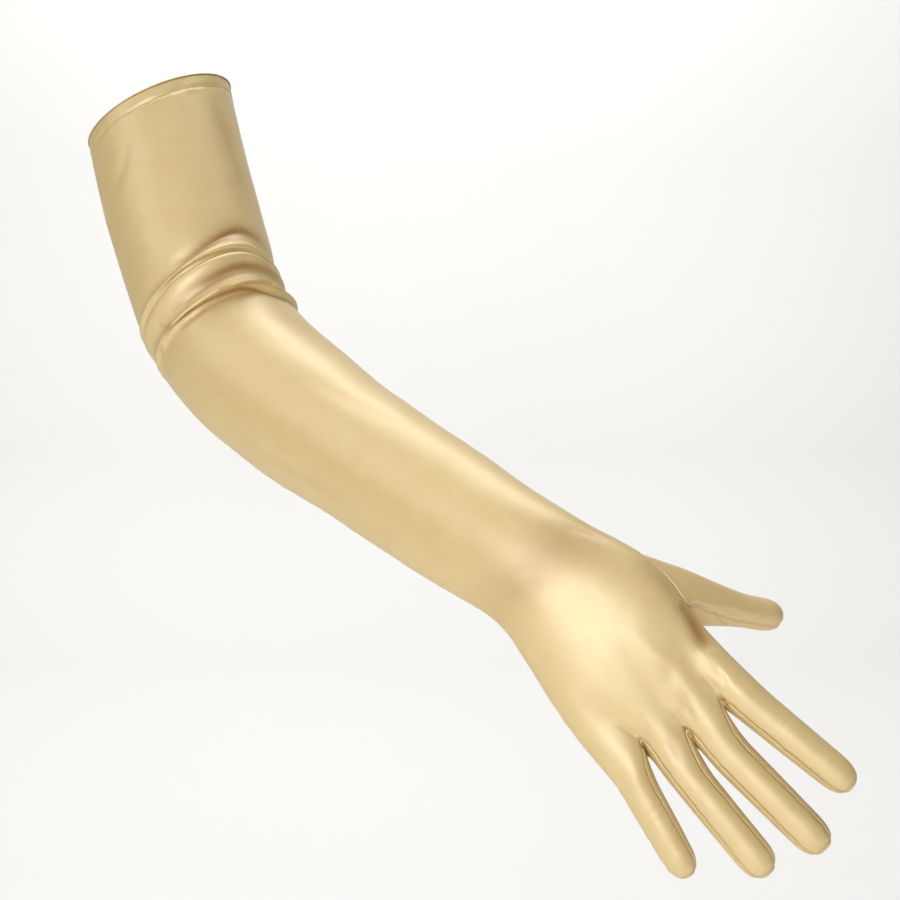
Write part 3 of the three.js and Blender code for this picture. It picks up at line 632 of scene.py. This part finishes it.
def build_finger(cloth, k, loop, uv):
    """Carries a finger's loop from the fork to its tip, the corners drawing in as it narrows."""
    finger = FINGERS[k]
    length = finger["length"]
    root, along, _, _ = finger_axis(finger)
    starts = [(vert.co - root).dot(along) for vert in loop]
    plain = [finger_point(finger, at, finger_angle(j, 0)) for j, at in enumerate(starts)]
    drifts = [vert.co - point for vert, point in zip(loop, plain)]

    def place(j, share):
        at = lerp(starts[j], length, share)
        keep = 1 - smooth((at - starts[j]) / FORK_DEPTH)
        return finger_point(finger, at, finger_angle(j, share)) + drifts[j] * keep

    def panel_of(share, j):
        if share > FINGER_RINGS[TIP_SEAM_RING]:
            return "trank"
        if FINGER_CELLS <= j < FINGER_CELLS + SIDE_CELLS and k < len(FINGERS) - 1:
            return f"fourchette_{WEBS[k]['name']}"
        if j >= 2 * FINGER_CELLS + SIDE_CELLS and k > 0:
            return f"fourchette_{WEBS[k - 1]['name']}"
        return "trank"

    sewn = (LITTLE_FINGER_SEAM_COLUMN,) if k == 0 else ()
    rings = grow_digit(cloth, loop, uv, FINGER_RINGS, place, panel_of, KNUCKLE_LINE, length, sewn)
    over_tip = rings[TIP_SEAM_RING]
    for j in range(FINGER_CELLS):
        cloth.edges.get((over_tip[j], over_tip[j + 1])).seam = True
    close_tip(cloth, rings[-1], FINGER_CELLS, "trank", uv)
    return rings[1:]


def build_thumb(cloth, loop, uv):
    """The thumb grows from its hole in the side of the palm."""
    length = THUMB["length"]
    hand_along, hand_back, hand_inner = frame_at(FORK_LINE)
    along = turn_towards(turn_towards(hand_along, hand_inner, THUMB["splay"]), hand_back, -THUMB["drop"])
    back = (hand_back - along * hand_back.dot(along)).normalized()
    inner = back.cross(along)
    count = len(loop)
    root = sum((vert.co for vert in loop), Vector()) / count
    seen = [math.atan2((v.co - root).dot(back), (v.co - root).dot(inner)) for v in loop]
    turn = math.copysign(1, math.sin(seen[1] - seen[0]))
    for j in range(1, count):
        while (seen[j] - seen[j - 1]) * turn < -math.pi:
            seen[j] += 2 * math.pi * turn
        while (seen[j] - seen[j - 1]) * turn > math.pi:
            seen[j] -= 2 * math.pi * turn
    even_step = turn * 2 * math.pi / count
    even_start = sum(angle - j * even_step for j, angle in enumerate(seen)) / count
    bend = math.radians(THUMB["bend"])
    radius = length / bend

    def tube_point(at, angle):
        share = max(0.0, at / length)
        turned = bend * share
        round_tip = tip_falloff(max(0.0, (at - length + TIP_REACH) / TIP_REACH))
        neck = smooth(share * THUMB["narrowing"])
        half_width = lerp(THUMB["root_width"], THUMB["width"], neck) / 2 * round_tip
        half_thickness = lerp(THUMB["root_thickness"], THUMB["thickness"], neck) / 2 * round_tip
        across = half_width * math.cos(angle)
        fore = (at if at < 0 else radius * math.sin(turned)) - across * math.sin(turned)
        side = radius * (1 - math.cos(turned)) + across * math.cos(turned)
        return root + along * fore + inner * side + back * (half_thickness * math.sin(angle))

    starts = [(vert.co - root).dot(along) for vert in loop]
    drifts = [vert.co - tube_point(at, angle) for vert, at, angle in zip(loop, starts, seen)]

    def place(j, share):
        angle = lerp(seen[j], even_start + j * even_step, smooth(share * THUMB["evening"]))
        keep = (1 - smooth(share * THUMB["settling"])) ** THUMB["settle_power"]
        return tube_point(lerp(starts[j], length, share), angle) + drifts[j] * keep

    def panel_of(share, j):
        return "thumb"

    from_seam = [math.cos(even_start + j * even_step - THUMB_SEAM_ANGLE) for j in range(count)]
    sewn = (from_seam.index(max(from_seam)),)
    rings = grow_digit(cloth, loop, uv, THUMB_RINGS, place, panel_of, HAND_START, length, sewn)
    close_tip(cloth, rings[-1], count // SIDES_OF_THUMB, "thumb", uv)
    return rings[1:]


# Easing over the knuckles, the fork and the root of the thumb, as the solids have it.
EASE_ROUNDS = 8
EASE_IN = 0.5
EASE_OUT = -0.52
WEB_EASE = 0.15
PALM_EASE_REACH = 0.4
FINGER_EASE = [0.8, 0.6, 0.4]
THUMB_EASE = [1, 0.85, 0.7, 0.55, 0.4, 0.25]


def ease_cloth(shares):
    for i in range(EASE_ROUNDS * 2):
        pull = EASE_OUT if i % 2 else EASE_IN
        moves = []
        for vert, share in shares.items():
            others = [edge.other_vert(vert).co for edge in vert.link_edges]
            middle = sum(others, Vector()) / len(others)
            moves.append((vert, (middle - vert.co) * (pull * share)))
        for vert, move in moves:
            vert.co += move


def build_cloth():
    """The whole glove as one skin of square cells, each marked with its panel."""
    cloth, uv = new_cloth()
    rings, palm_start = build_hand_and_arm(cloth, uv)
    thumb_loop = cut_thumb_hole(cloth, rings, palm_start)
    web_lines = string_webs(cloth, rings[-1])
    shares = {}
    for r in range(1, PALM_RINGS + 1):
        for j, vert in enumerate(rings[palm_start + r]):
            web_end_here = r == PALM_RINGS and j % FINGER_CELLS == 0
            if vert.is_valid:
                shares[vert] = WEB_EASE if web_end_here else smooth(r / PALM_RINGS / PALM_EASE_REACH)
    for k in range(len(FINGERS)):
        loop = finger_loop(k, rings[-1], web_lines)
        for share, ring in zip(FINGER_EASE, build_finger(cloth, k, loop, uv)):
            shares.update({vert: share for vert in ring})
    for share, ring in zip(THUMB_EASE, build_thumb(cloth, thumb_loop, uv)):
        shares.update({vert: share for vert in ring})
    ease_cloth(shares)
    for edge in cloth.edges:
        if len({face[uv["panel"]] for face in edge.link_faces}) > 1:
            edge.seam = True
    bmesh.ops.recalc_face_normals(cloth, faces=cloth.faces[:])
    return cloth


def as_object(name, cloth):
    """The cloth as an object, shaded smooth."""
    for face in cloth.faces:
        face.smooth = True
    mesh = bpy.data.meshes.new(name)
    cloth.to_mesh(mesh)
    cloth.free()
    piece = bpy.data.objects.new(name, mesh)
    bpy.context.scene.collection.objects.link(piece)
    return piece


def with_modifiers_applied(piece):
    """The piece's mesh as its modifiers leave it, and the modifiers taken off."""
    graph = bpy.context.evaluated_depsgraph_get()
    mesh = bpy.data.meshes.new_from_object(piece.evaluated_get(graph))
    piece.modifiers.clear()
    piece.data = mesh
    return piece


def subdivide(piece, levels):
    step = piece.modifiers.new("finer_cells", "SUBSURF")
    step.levels = levels
    step.render_levels = levels
    return with_modifiers_applied(piece)


FINER_LEVELS = 2
skin = subdivide(as_object("skin", build_cloth()), FINER_LEVELS)

# The camera of the photograph: level, looking along +Y. Its place is in metres.
CAMERA_PLACE = (0.1662, -0.8038, -0.1915)
LENS = 56.0
SENSOR = 36.0
PHOTO_SIZE = 900.0


def place_in_photo(surface, x, y):
    """The point of the cloth seen at a place of the photograph, in its pixels."""
    across = (x / PHOTO_SIZE - 0.5) * SENSOR / LENS
    up = (0.5 - y / PHOTO_SIZE) * SENSOR / LENS
    hit, _, _, _ = surface.ray_cast(Vector(CAMERA_PLACE) / MM, Vector((across, 1, up)))
    return hit


def place_on_arm(surface, at, degrees):
    """The point of the cloth at a distance down the arm and an angle round it."""
    return surface.find_nearest(section_point(at, math.radians(degrees), 0))[0]


def place_on_finger(k):
    def place(surface, at, degrees):
        return surface.find_nearest(finger_point(FINGERS[k], at, degrees))[0]

    return place


# Creases that the photograph shows, in its pixels; depth and half width in millimetres. A negative
# depth stands out. The lip is the low swell on either side, and the shade is how much painted shade darkens
# the hollow.
WEB_HOLE = {"depth": 0.8, "width": 1.3, "shade": 5}
WEB_DRAG = {"depth": 0.8, "width": 1.6}
SECOND_WEB_DRAG = {"depth": 0.5, "width": 1.4}
PHOTO_CREASES = {
    "hem, slant drag": {"line": [(124, 116), (140, 105), (156, 97)], "depth": 0.45, "width": 1.3},
    "hem, second drag": {"line": [(134, 117), (148, 106), (163, 101)], "depth": 0.4, "width": 1.2},
    "upper arm, from the hem": {"line": [(131, 140), (124, 165), (114, 200)], "depth": 0.6, "width": 4},
    "upper arm, inner side": {"line": [(216, 104), (232, 150), (250, 205)],
        "depth": 0.7, "width": 7, "shade": 0.9},
    "elbow, top hollow": {
        "line": [(150, 296), (180, 266), (208, 245), (236, 231), (254, 236), (270, 252)],
        "depth": 1.0, "width": 3.0, "shade": 3.2, "lip": 0.5},
    "elbow, between the ridges": {"line": [(155, 299), (178, 275), (203, 259), (233, 250), (256, 254)],
        "depth": 0.7, "width": 1.3, "shade": 1.4},
    "elbow, hollow band": {
        "line": [(170, 312), (190, 293), (212, 278), (238, 266), (262, 268), (284, 282)],
        "depth": 0.8, "width": 3.6, "shade": 3.0},
    "elbow, band's line": {"line": [(178, 312), (198, 293), (224, 278), (258, 272)],
        "depth": 0.6, "width": 1.2, "shade": 1.2},
    "elbow, under the overhang": {
        "line": [(164, 336), (181, 319), (203, 305), (227, 293), (251, 289), (290, 302)],
        "depth": 0.5, "width": 1.2, "shade": 5.0, "lip": 0.3},
    "elbow, crumple": {"line": [(158, 322), (166, 328), (175, 325)],
        "depth": 1.0, "width": 1.8, "shade": 1.4},
    "elbow, end of the tuck": {"line": [(159, 344), (162, 352), (160, 362)],
        "depth": 0.7, "width": 1.5, "shade": 1.2},
    "forearm, below the overhang": {"line": [(232, 303), (262, 304), (300, 324), (345, 358)],
        "depth": 0.7, "width": 9, "shade": 0.9, "lip": 0},
    "forearm, slant drag": {"line": [(300, 372), (345, 398), (400, 425)], "depth": 0.35, "width": 6},
    "forearm, outer drag": {"line": [(232, 432), (290, 470), (350, 505)], "depth": 0.4, "width": 5},
    "wrist band": {"line": [(478, 612), (508, 584), (534, 562), (566, 542), (612, 520)],
        "depth": 1.3, "width": 13, "shade": 1.5, "lip": 0},
    "wrist, lower line": {"line": [(508, 598), (524, 585), (545, 574)], "depth": 0.4, "width": 2.2},
    "wrist, upper line": {"line": [(560, 527), (584, 530), (606, 540)], "depth": 0.4, "width": 2.5},
    "thumb root, hollow": {"line": [(680, 600), (694, 620), (704, 638), (708, 650)],
        "depth": 1.6, "width": 5.5, "shade": 3.0, "lip": 0.3},
    "hand, thumb side": {"line": [(642, 560), (668, 586), (688, 612)],
        "depth": 0.6, "width": 5, "shade": 1.0, "lip": 0},
    "index tendon": {"line": [(628, 628), (660, 660), (704, 700)], "depth": -0.4, "width": 5},
    "middle tendon": {"line": [(604, 646), (640, 690), (676, 732)], "depth": -0.35, "width": 5},
    "index knuckle, hollow": {"line": [(664, 661), (670, 676), (674, 690)],
        "depth": 0.5, "width": 3.5, "lip": 0.3},
    "middle knuckle, hollow": {"line": [(678, 688), (685, 703), (687, 716)],
        "depth": 0.55, "width": 3, "shade": 1.0, "lip": 0.3},
    "ring knuckle, hollow": {"line": [(666, 738), (675, 750), (681, 764)],
        "depth": 0.55, "width": 3, "shade": 1.0, "lip": 0.3},
    "index base, hollow": {"line": [(712, 660), (718, 672), (722, 684)],
        "depth": 0.45, "width": 3, "lip": 0.3},
    "index web, hole": {"line": [(719, 695), (724, 701), (729, 708)],
        **WEB_HOLE},
    "middle web, hole": {"line": [(686, 726), (690, 733), (695, 741)],
        **WEB_HOLE, "shade": 4},
    "little web, hole": {"line": [(641, 742), (645, 750), (648, 759)],
        **WEB_HOLE},
    "index web, drag": {"line": [(722, 699), (714, 686), (702, 676)], **WEB_DRAG},
    "middle web, drag": {"line": [(688, 731), (680, 718), (670, 711)], **WEB_DRAG},
    "little web, drag": {"line": [(640, 742), (630, 731), (616, 725)], **WEB_DRAG},
    "index web, second drag": {"line": [(727, 693), (724, 680), (716, 668)], **SECOND_WEB_DRAG},
    "middle web, second drag": {"line": [(694, 724), (690, 712), (683, 702)], **SECOND_WEB_DRAG},
    "little web, second drag": {"line": [(646, 737), (645, 724), (640, 712)], **SECOND_WEB_DRAG},
    "thumb, crotch drag": {"line": [(712, 612), (722, 622), (730, 630)],
        "depth": 0.6, "width": 1.3, "shade": 1.6},
    "thumb, second drag": {"line": [(708, 606), (726, 612), (744, 616)], "depth": 0.5, "width": 2},
}

# Creases on the sides that the photograph doesn't show: distance down the arm and degrees round it,
# where 90 is the back of the hand and 270 the palm.
ARM_CREASES = {
    "palm, thumb line": {"line": [(418, 310), (438, 296), (462, 316)], "depth": 1.1, "width": 2.2},
    "palm, upper line": {"line": [(447, 340), (452, 300), (447, 262)], "depth": 0.9, "width": 2},
    "palm, lower line": {"line": [(459, 330), (463, 290), (462, 248)], "depth": 0.9, "width": 2},
    "wrist, inner line": {"line": [(389, 225), (393, 270), (388, 315)], "depth": 1.0, "width": 2.4},
    "wrist, second inner line": {"line": [(380, 235), (382, 275), (376, 305)], "depth": 0.6, "width": 2},
    "forearm, inner drag": {"line": [(330, 235), (352, 262), (371, 300)], "depth": 0.5, "width": 5},
    "elbow, rear drag": {"line": [(150, 200), (176, 232), (214, 250)], "depth": 0.8, "width": 4},
    "elbow, rear slack": {"line": [(158, 245), (168, 290), (160, 330)], "depth": 0.9, "width": 4},
    "upper arm, rear drag": {"line": [(34, 250), (62, 268), (88, 292)], "depth": 0.7, "width": 6},
    "upper arm, rear slack": {"line": [(80, 215), (96, 250), (100, 285)], "depth": 0.6, "width": 4},
}

# The fine folds that a bent finger puts in its cloth, at its two joints, on its back and palm side.
JOINT_SHARES = [0.4, 0.7]
JOINT_FOLDS = [
    {"off": -1.8, "from": 55, "to": 125, "depth": 0.2, "width": 1.6},
    {"off": 1.6, "from": 50, "to": 130, "depth": 0.2, "width": 1.6},
    {"off": 0.0, "from": -35, "to": -145, "depth": 0.6, "width": 1.5},
    {"off": 3.0, "from": -50, "to": -125, "depth": 0.35, "width": 1.2},
]
CREASE_SAMPLE = 1.0
FEWEST_SAMPLES = 4
CREASE_REACH = 2.8
CREASE_TAPER = 0.6


def crease_samples(surface, line, place):
    """Points along a crease, each with its share of the depth: full in the middle, none at the ends."""
    corners = [{"at": i, "x": x, "y": y} for i, (x, y) in enumerate(line)]
    last = len(corners) - 1
    rough = [point for point in (place(surface, x, y) for x, y in line) if point]
    length = sum((b - a).length for a, b in zip(rough, rough[1:]))
    count = max(FEWEST_SAMPLES, round(length / CREASE_SAMPLE))
    samples = []
    for i in range(count + 1):
        at = last * i / count
        point = place(surface, rounded(corners, "x", at), rounded(corners, "y", at))
        if point:
            samples.append((point, max(0.0, math.sin(math.pi * i / count)) ** CREASE_TAPER))
    return samples


def all_creases(surface):
    creases = [(crease, place_in_photo) for crease in PHOTO_CREASES.values()]
    creases += [(crease, place_on_arm) for crease in ARM_CREASES.values()]
    for k, finger in enumerate(FINGERS):
        for share in JOINT_SHARES:
            for fold in JOINT_FOLDS:
                at = finger["length"] * share + fold["off"]
                line = [(at, fold["from"]), (at, (fold["from"] + fold["to"]) / 2), (at, fold["to"])]
                creases.append(({"line": line, **fold}, place_on_finger(k)))
    return creases


LIP = 0.9


def hollow(t, lip):
    """The section of a crease: a hollow with a low lip on either side."""
    return (1 - lip * t * t) * math.exp(-t * t)


# The seams are sewn on the inside: a fine groove outside, and puckers beside it.
SEAM = {"depth": 0.36, "width": 0.75, "pucker": 0.2, "pucker_reach": 2.4, "pucker_length": 3.6}

# The hem's stitch line, and the puckers that it draws.
HEM_STITCH = 7.2
HEM_POINTS = 400
HEM_LINE = {"depth": 0.45, "width": 1.0, "pucker": 0.3, "pucker_reach": 5.0, "pucker_length": 6.5}

# The slack of the whole cloth: long low waves and shorter ones.
SLACK = [{"length": 34.0, "height": 0.45}, {"length": 13.0, "height": 0.14}]
SLACK_ON_FINGERS = 0.45


def sewn_line(points):
    tree = KDTree(len(points))
    for i, point in enumerate(points):
        tree.insert(point, i)
    tree.balance()
    return tree


def sewn_depth(distance, point, line):
    groove = line["depth"] * math.exp(-((distance / line["width"]) ** 2))
    fade = math.exp(-((distance / line["pucker_reach"]) ** 2))
    return line["pucker"] * fade * noise(point / line["pucker_length"]) * 2 - groove


def hem_stitch_points(surface, count):
    """Evenly numbered places round the arm opening on the hem's stitch line."""
    places = []
    for i in range(count):
        angle = 2 * math.pi * i / count
        places.append(surface.find_nearest(section_point(HEM_STITCH + hem_slant(angle), angle, 0))[:2])
    return places


def surface_of(mesh):
    corners = [vert.co for vert in mesh.vertices]
    return BVHTree.FromPolygons(corners, [tuple(face.vertices) for face in mesh.polygons])


def shape_cloth(piece):
    """Moves the skin in and out for its creases, seams, hem line and slack; notes the creases' painted
    shade and the seams.
    """
    mesh = piece.data
    surface = surface_of(mesh)
    verts = mesh.vertices
    everywhere = sewn_line([vert.co for vert in verts])
    moves = [0.0] * len(verts)
    shade = [0.0] * len(verts)
    for crease, place in all_creases(surface):
        nearest = {}
        reach = crease["width"] * CREASE_REACH
        for sample, share in crease_samples(surface, crease["line"], place):
            for _, i, distance in everywhere.find_range(sample, reach):
                if distance < nearest.get(i, (reach, 0))[0]:
                    nearest[i] = (distance, share)
        for i, (distance, share) in nearest.items():
            drop = share * hollow(distance / crease["width"], crease.get("lip", LIP))
            moves[i] -= crease["depth"] * drop
            # Painted shade for the hollow, by which the material darkens the colour here.
            shade[i] += max(0.0, crease.get("shade", crease["depth"]) * drop)
    seam_ids = {i for edge in mesh.edges if edge.use_seam for i in edge.vertices}
    seams = sewn_line([verts[i].co for i in seam_ids])
    hem_line = sewn_line([point for point, _ in hem_stitch_points(surface, HEM_POINTS)])
    knuckles = hand_point(KNUCKLE_LINE, 0, 0)
    along = frame_at(FORK_LINE)[0]
    seam_allowance_and_shade = [0.0] * len(verts)
    for i, vert in enumerate(verts):
        to_seam = seams.find(vert.co)[2]
        to_hem = hem_line.find(vert.co)[2]
        # Near a seam the material darkens the colour: the doubled seam allowance inside, and painted shade
        # of the groove.
        seam_allowance_and_shade[i] = math.exp(-((to_seam / SEAM["width"]) ** 2))
        moves[i] += sewn_depth(to_seam, vert.co, SEAM) + sewn_depth(to_hem, vert.co, HEM_LINE)
        on_fingers = smooth((vert.co - knuckles).dot(along) / FORK_DEPTH)
        slack = sum(wave["height"] * noise(vert.co / wave["length"]) for wave in SLACK)
        moves[i] += slack * lerp(1, SLACK_ON_FINGERS, on_fingers)
    normals = [vert.normal.copy() for vert in verts]
    for vert, normal, move in zip(verts, normals, moves):
        vert.co += normal * move
    # The creases' painted shade and the nearness to a seam go to the material as attributes.
    for name, values in (("seam", seam_allowance_and_shade), ("crease", shade)):
        mesh.attributes.new(name, "FLOAT", "POINT").data.foreach_set("value", values)
    mesh.update()


shape_cloth(skin)


# The hem: the cloth turned over the arm opening's edge and sewn down inside, with its stitches.
HEM_PROFILE = [
    (9.4, -1.3), (5.0, -1.3), (1.2, -1.3), (0.1, -1.2), (-0.6, -0.8), (-0.7, -0.35), (-0.2, -0.05),
]
STITCH = {"count": 96, "length": 1.9, "radius": 0.2, "proud": 0.4}


def build_hem():
    cloth, uv = new_cloth()
    angles = [column_angle(j) for j in range(RING_CELLS)]
    rows = []
    for at, lift in HEM_PROFILE:
        place = slanted_ring(at)
        points = [section_point(place(angle)[0], angle, lift) for angle in angles]
        rows.append({"points": points, "at": at})
    grow_tube(cloth, rows, uv)
    bmesh.ops.recalc_face_normals(cloth, faces=cloth.faces[:])
    bmesh.ops.scale(cloth, vec=(MM, MM, MM), verts=cloth.verts[:])
    return subdivide(as_object("hem_cloth", cloth), FINER_LEVELS)


def build_hem_stitches(surface):
    """Short thread stitches that lie in the groove of the hem line."""
    thread = bmesh.new()
    places = hem_stitch_points(surface, STITCH["count"])
    for i, (point, normal) in enumerate(places):
        forward = (places[(i + 1) % len(places)][0] - point).normalized()
        side = normal.cross(forward)
        lie = Matrix((forward, side, normal)).transposed().to_4x4()
        size = Matrix.Diagonal((STITCH["length"] / 2, STITCH["radius"], STITCH["radius"], 1))
        spot = Matrix.Translation(point + normal * STITCH["radius"] * STITCH["proud"])
        bmesh.ops.create_icosphere(thread, subdivisions=1, radius=1, matrix=spot @ lie @ size)
    bmesh.ops.scale(thread, vec=(MM, MM, MM), verts=thread.verts[:])
    return as_object("hem_stitches", thread)


hem_stitches = build_hem_stitches(surface_of(skin.data))
skin.data.transform(Matrix.Scale(MM, 4))


WALL = 0.8 * MM
HEM_WALL = 0.5 * MM


def with_wall(piece, thickness):
    """Gives a sheet of cloth its thickness, on its inner side."""
    wall = piece.modifiers.new("cloth_thickness", "SOLIDIFY")
    wall.thickness = thickness
    wall.offset = -1


def cut_panel(name):
    """A panel of the skin as a piece of its own."""
    cloth = bmesh.new()
    cloth.from_mesh(skin.data)
    panel = cloth.faces.layers.int["panel"]
    others = [face for face in cloth.faces if face[panel] != PANELS.index(name)]
    bmesh.ops.delete(cloth, geom=others, context="FACES")
    return as_object(name + "_cloth", cloth)


def area_of(piece):
    return sum(face.area for face in piece.data.polygons)


pieces = {name: cut_panel(name) for name in PANELS}
pieces["hem"] = build_hem()
bpy.data.objects.remove(skin)
areas = {name: area_of(piece) for name, piece in pieces.items()}
for name, piece in pieces.items():
    with_wall(piece, HEM_WALL if name == "hem" else WALL)


def srgb(text):
    """An sRGB hex colour as linear RGBA."""
    parts = [int(text[i:i + 2], 16) / 255 for i in (1, 3, 5)]
    linear = [p / 12.92 if p <= 0.04045 else ((p + 0.055) / 1.055) ** 2.4 for p in parts]
    return (*linear, 1)


def add_node(tree, kind, settings=None, inputs=None):
    """Adds a node with its settings, and its inputs as values or as links from other nodes' outputs."""
    node = tree.nodes.new(kind)
    for key, value in (settings or {}).items():
        setattr(node, key, value)
    for key, value in (inputs or {}).items():
        if isinstance(value, bpy.types.NodeSocket):
            tree.links.new(value, node.inputs[key])
        else:
            node.inputs[key].default_value = value
    return node


# Champagne stretch satin: long floats of bright filament yarn over a golden ground. Seen straight on,
# the floats send back a broad cream sheen; turned away, the ground shows, deeper and warmer. The real
# threads, about 0.1 mm apart, are too fine to show, so the weave is drawn at 0.45 mm.
GROUND = "#C2A56A"
FLOAT = "#D0B984"
SHEEN = "#FFF4DC"
ROUGHNESS = {"least": 0.43, "most": 0.54}
WAVE_PERIOD = 0.314
THREAD = 0.45 * MM
SLUB = 1.6 * MM
SLUB_SHARE = 0.45
MOTTLE = 14 * MM
MOTTLE_SHARE = 0.6

# Painted shade: the colour is darkened where the mesh notes a crease's hollow, and along the seams,
# for the groove's painted shade and the doubled seam allowance inside.
SHADES = [
    {"noted": "crease", "colour": "#93601F", "strength": 0.3},
    {"noted": "seam", "colour": "#8E6228", "strength": 0.42},
]


def satin_material():
    material = bpy.data.materials.new("champagne_stretch_satin")
    material.use_nodes = True
    tree = material.node_tree
    tree.nodes.clear()
    weave_map = add_node(tree, "ShaderNodeUVMap", {"uv_map": "weave"}).outputs["UV"]
    place = add_node(tree, "ShaderNodeTexCoord").outputs["Object"]
    threads = add_node(tree, "ShaderNodeTexWave", {"wave_type": "BANDS", "bands_direction": "DIAGONAL"}, {
        "Vector": weave_map, "Scale": WAVE_PERIOD / THREAD, "Distortion": 0.6, "Detail": 1.0,
    }).outputs["Fac"]
    along_threads = add_node(tree, "ShaderNodeMapping", inputs={"Vector": weave_map, "Scale": (1, 0.18, 1)})
    slubs = add_node(tree, "ShaderNodeTexNoise", inputs={
        "Vector": along_threads.outputs["Vector"], "Scale": 1 / SLUB, "Detail": 3.0,
    }).outputs["Fac"]
    mottle = add_node(tree, "ShaderNodeTexNoise", inputs={
        "Vector": place, "Scale": 1 / MOTTLE, "Detail": 2.0, "Roughness": 0.5,
    }).outputs["Fac"]
    lay = add_node(tree, "ShaderNodeMath", {"operation": "MULTIPLY_ADD"}, {0: slubs, 1: SLUB_SHARE, 2: 0.0})
    lay_and_mottle = add_node(tree, "ShaderNodeMath", {"operation": "MULTIPLY_ADD", "use_clamp": True}, {
        0: mottle, 1: MOTTLE_SHARE, 2: lay.outputs[0],
    }).outputs[0]
    colour = add_node(tree, "ShaderNodeMix", {"data_type": "RGBA"}, {
        0: lay_and_mottle, 6: srgb(GROUND), 7: srgb(FLOAT),
    }).outputs[2]
    # Painted shade of the creases and seams, mixed into the colour where the mesh notes it.
    for shade in SHADES:
        noted = add_node(tree, "ShaderNodeAttribute", {"attribute_name": shade["noted"]}).outputs["Fac"]
        amount = add_node(tree, "ShaderNodeMath", {"operation": "MULTIPLY", "use_clamp": True}, {
            0: noted, 1: shade["strength"],
        }).outputs[0]
        colour = add_node(tree, "ShaderNodeMix", {"data_type": "RGBA"}, {
            0: amount, 6: colour, 7: srgb(shade["colour"]),
        }).outputs[2]
    gloss = add_node(tree, "ShaderNodeMapRange", inputs={
        "Value": slubs, "To Min": ROUGHNESS["least"], "To Max": ROUGHNESS["most"],
    })
    weave_bump = add_node(tree, "ShaderNodeBump", inputs={
        "Height": threads, "Strength": 0.12, "Distance": 0.05 * MM,
    }).outputs["Normal"]
    slub_bump = add_node(tree, "ShaderNodeBump", inputs={
        "Height": slubs, "Strength": 0.2, "Distance": 0.12 * MM, "Normal": weave_bump,
    }).outputs["Normal"]
    shader = add_node(tree, "ShaderNodeBsdfPrincipled", inputs={
        "Base Color": colour, "Roughness": gloss.outputs["Result"], "Normal": slub_bump,
        "Metallic": 0.0, "IOR": 1.9, "Specular IOR Level": 0.9, "Specular Tint": srgb(SHEEN),
    })
    add_node(tree, "ShaderNodeOutputMaterial", inputs={"Surface": shader.outputs["BSDF"]})
    return material


satin = satin_material()
for name, piece in pieces.items():
    piece.data.materials.clear()
    piece.data.materials.append(satin)
    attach(piece, "root")
    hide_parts(name)
hem_stitches.data.materials.append(satin)
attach(hem_stitches, "root")


# The stage: a pale sweep that is floor and backdrop in one, its profile in metres back and up.
PAPER = "#F4F3F1"
SWEEP_HALF_WIDTH = 4
SWEEP_PROFILE = [(-3.0, -0.62), (0.6, -0.62), (1.2, -0.5), (1.5, -0.2), (1.6, 0.3), (1.6, 3.0)]


def paper_material():
    """Matt seamless paper, a warm white."""
    material = bpy.data.materials.new("white_seamless_paper")
    material.use_nodes = True
    shader = material.node_tree.nodes["Principled BSDF"]
    shader.inputs["Base Color"].default_value = srgb(PAPER)
    shader.inputs["Roughness"].default_value = 0.9
    return material


def build_sweep():
    sheet = bmesh.new()
    edge = [sheet.verts.new((-SWEEP_HALF_WIDTH, y, z)) for y, z in SWEEP_PROFILE]
    lines = [sheet.edges.new(pair) for pair in zip(edge, edge[1:])]
    made = bmesh.ops.extrude_edge_only(sheet, edges=lines)["geom"]
    fresh = [part for part in made if isinstance(part, bmesh.types.BMVert)]
    bmesh.ops.translate(sheet, verts=fresh, vec=(2 * SWEEP_HALF_WIDTH, 0, 0))
    sweep = as_object("paper_sweep", sheet)
    sweep.data.materials.append(paper_material())


build_sweep()


def add_light(name, location, aim, size, power):
    """A soft rectangular lamp turned towards a point."""
    data = bpy.data.lights.new(name, "AREA")
    data.shape = "RECTANGLE"
    data.size, data.size_y = size
    data.energy = power
    lamp = bpy.data.objects.new(name, data)
    lamp.location = location
    lamp.rotation_euler = (Vector(aim) - Vector(location)).to_track_quat("-Z", "Y").to_euler()
    bpy.context.scene.collection.objects.link(lamp)


add_light("key", (-0.02, -1.42, -0.08), (0.16, 0, -0.2), (0.6, 0.6), 12.5)
add_light("fill_left", (-1.2, -0.8, 0.7), (0.12, 0, -0.2), (0.8, 1.0), 5)
add_light("backdrop_wash", (0.1, 0.2, 1.8), (0.1, 1.5, -0.2), (2.0, 0.8), 40)

world = bpy.data.worlds.new("studio")
world.use_nodes = True
world.node_tree.nodes["Background"].inputs["Color"].default_value = srgb("#FFFFFF")
world.node_tree.nodes["Background"].inputs["Strength"].default_value = 0.16
bpy.context.scene.world = world
bpy.context.scene.view_settings.view_transform = "Standard"

camera_data = bpy.data.cameras.new("photo_camera")
camera_data.lens = LENS
camera_data.sensor_width = SENSOR
camera = bpy.data.objects.new("photo_camera", camera_data)
camera.location = CAMERA_PLACE
camera.rotation_euler = (math.radians(90), 0, 0)
bpy.context.scene.collection.objects.link(camera)
bpy.context.scene.camera = camera
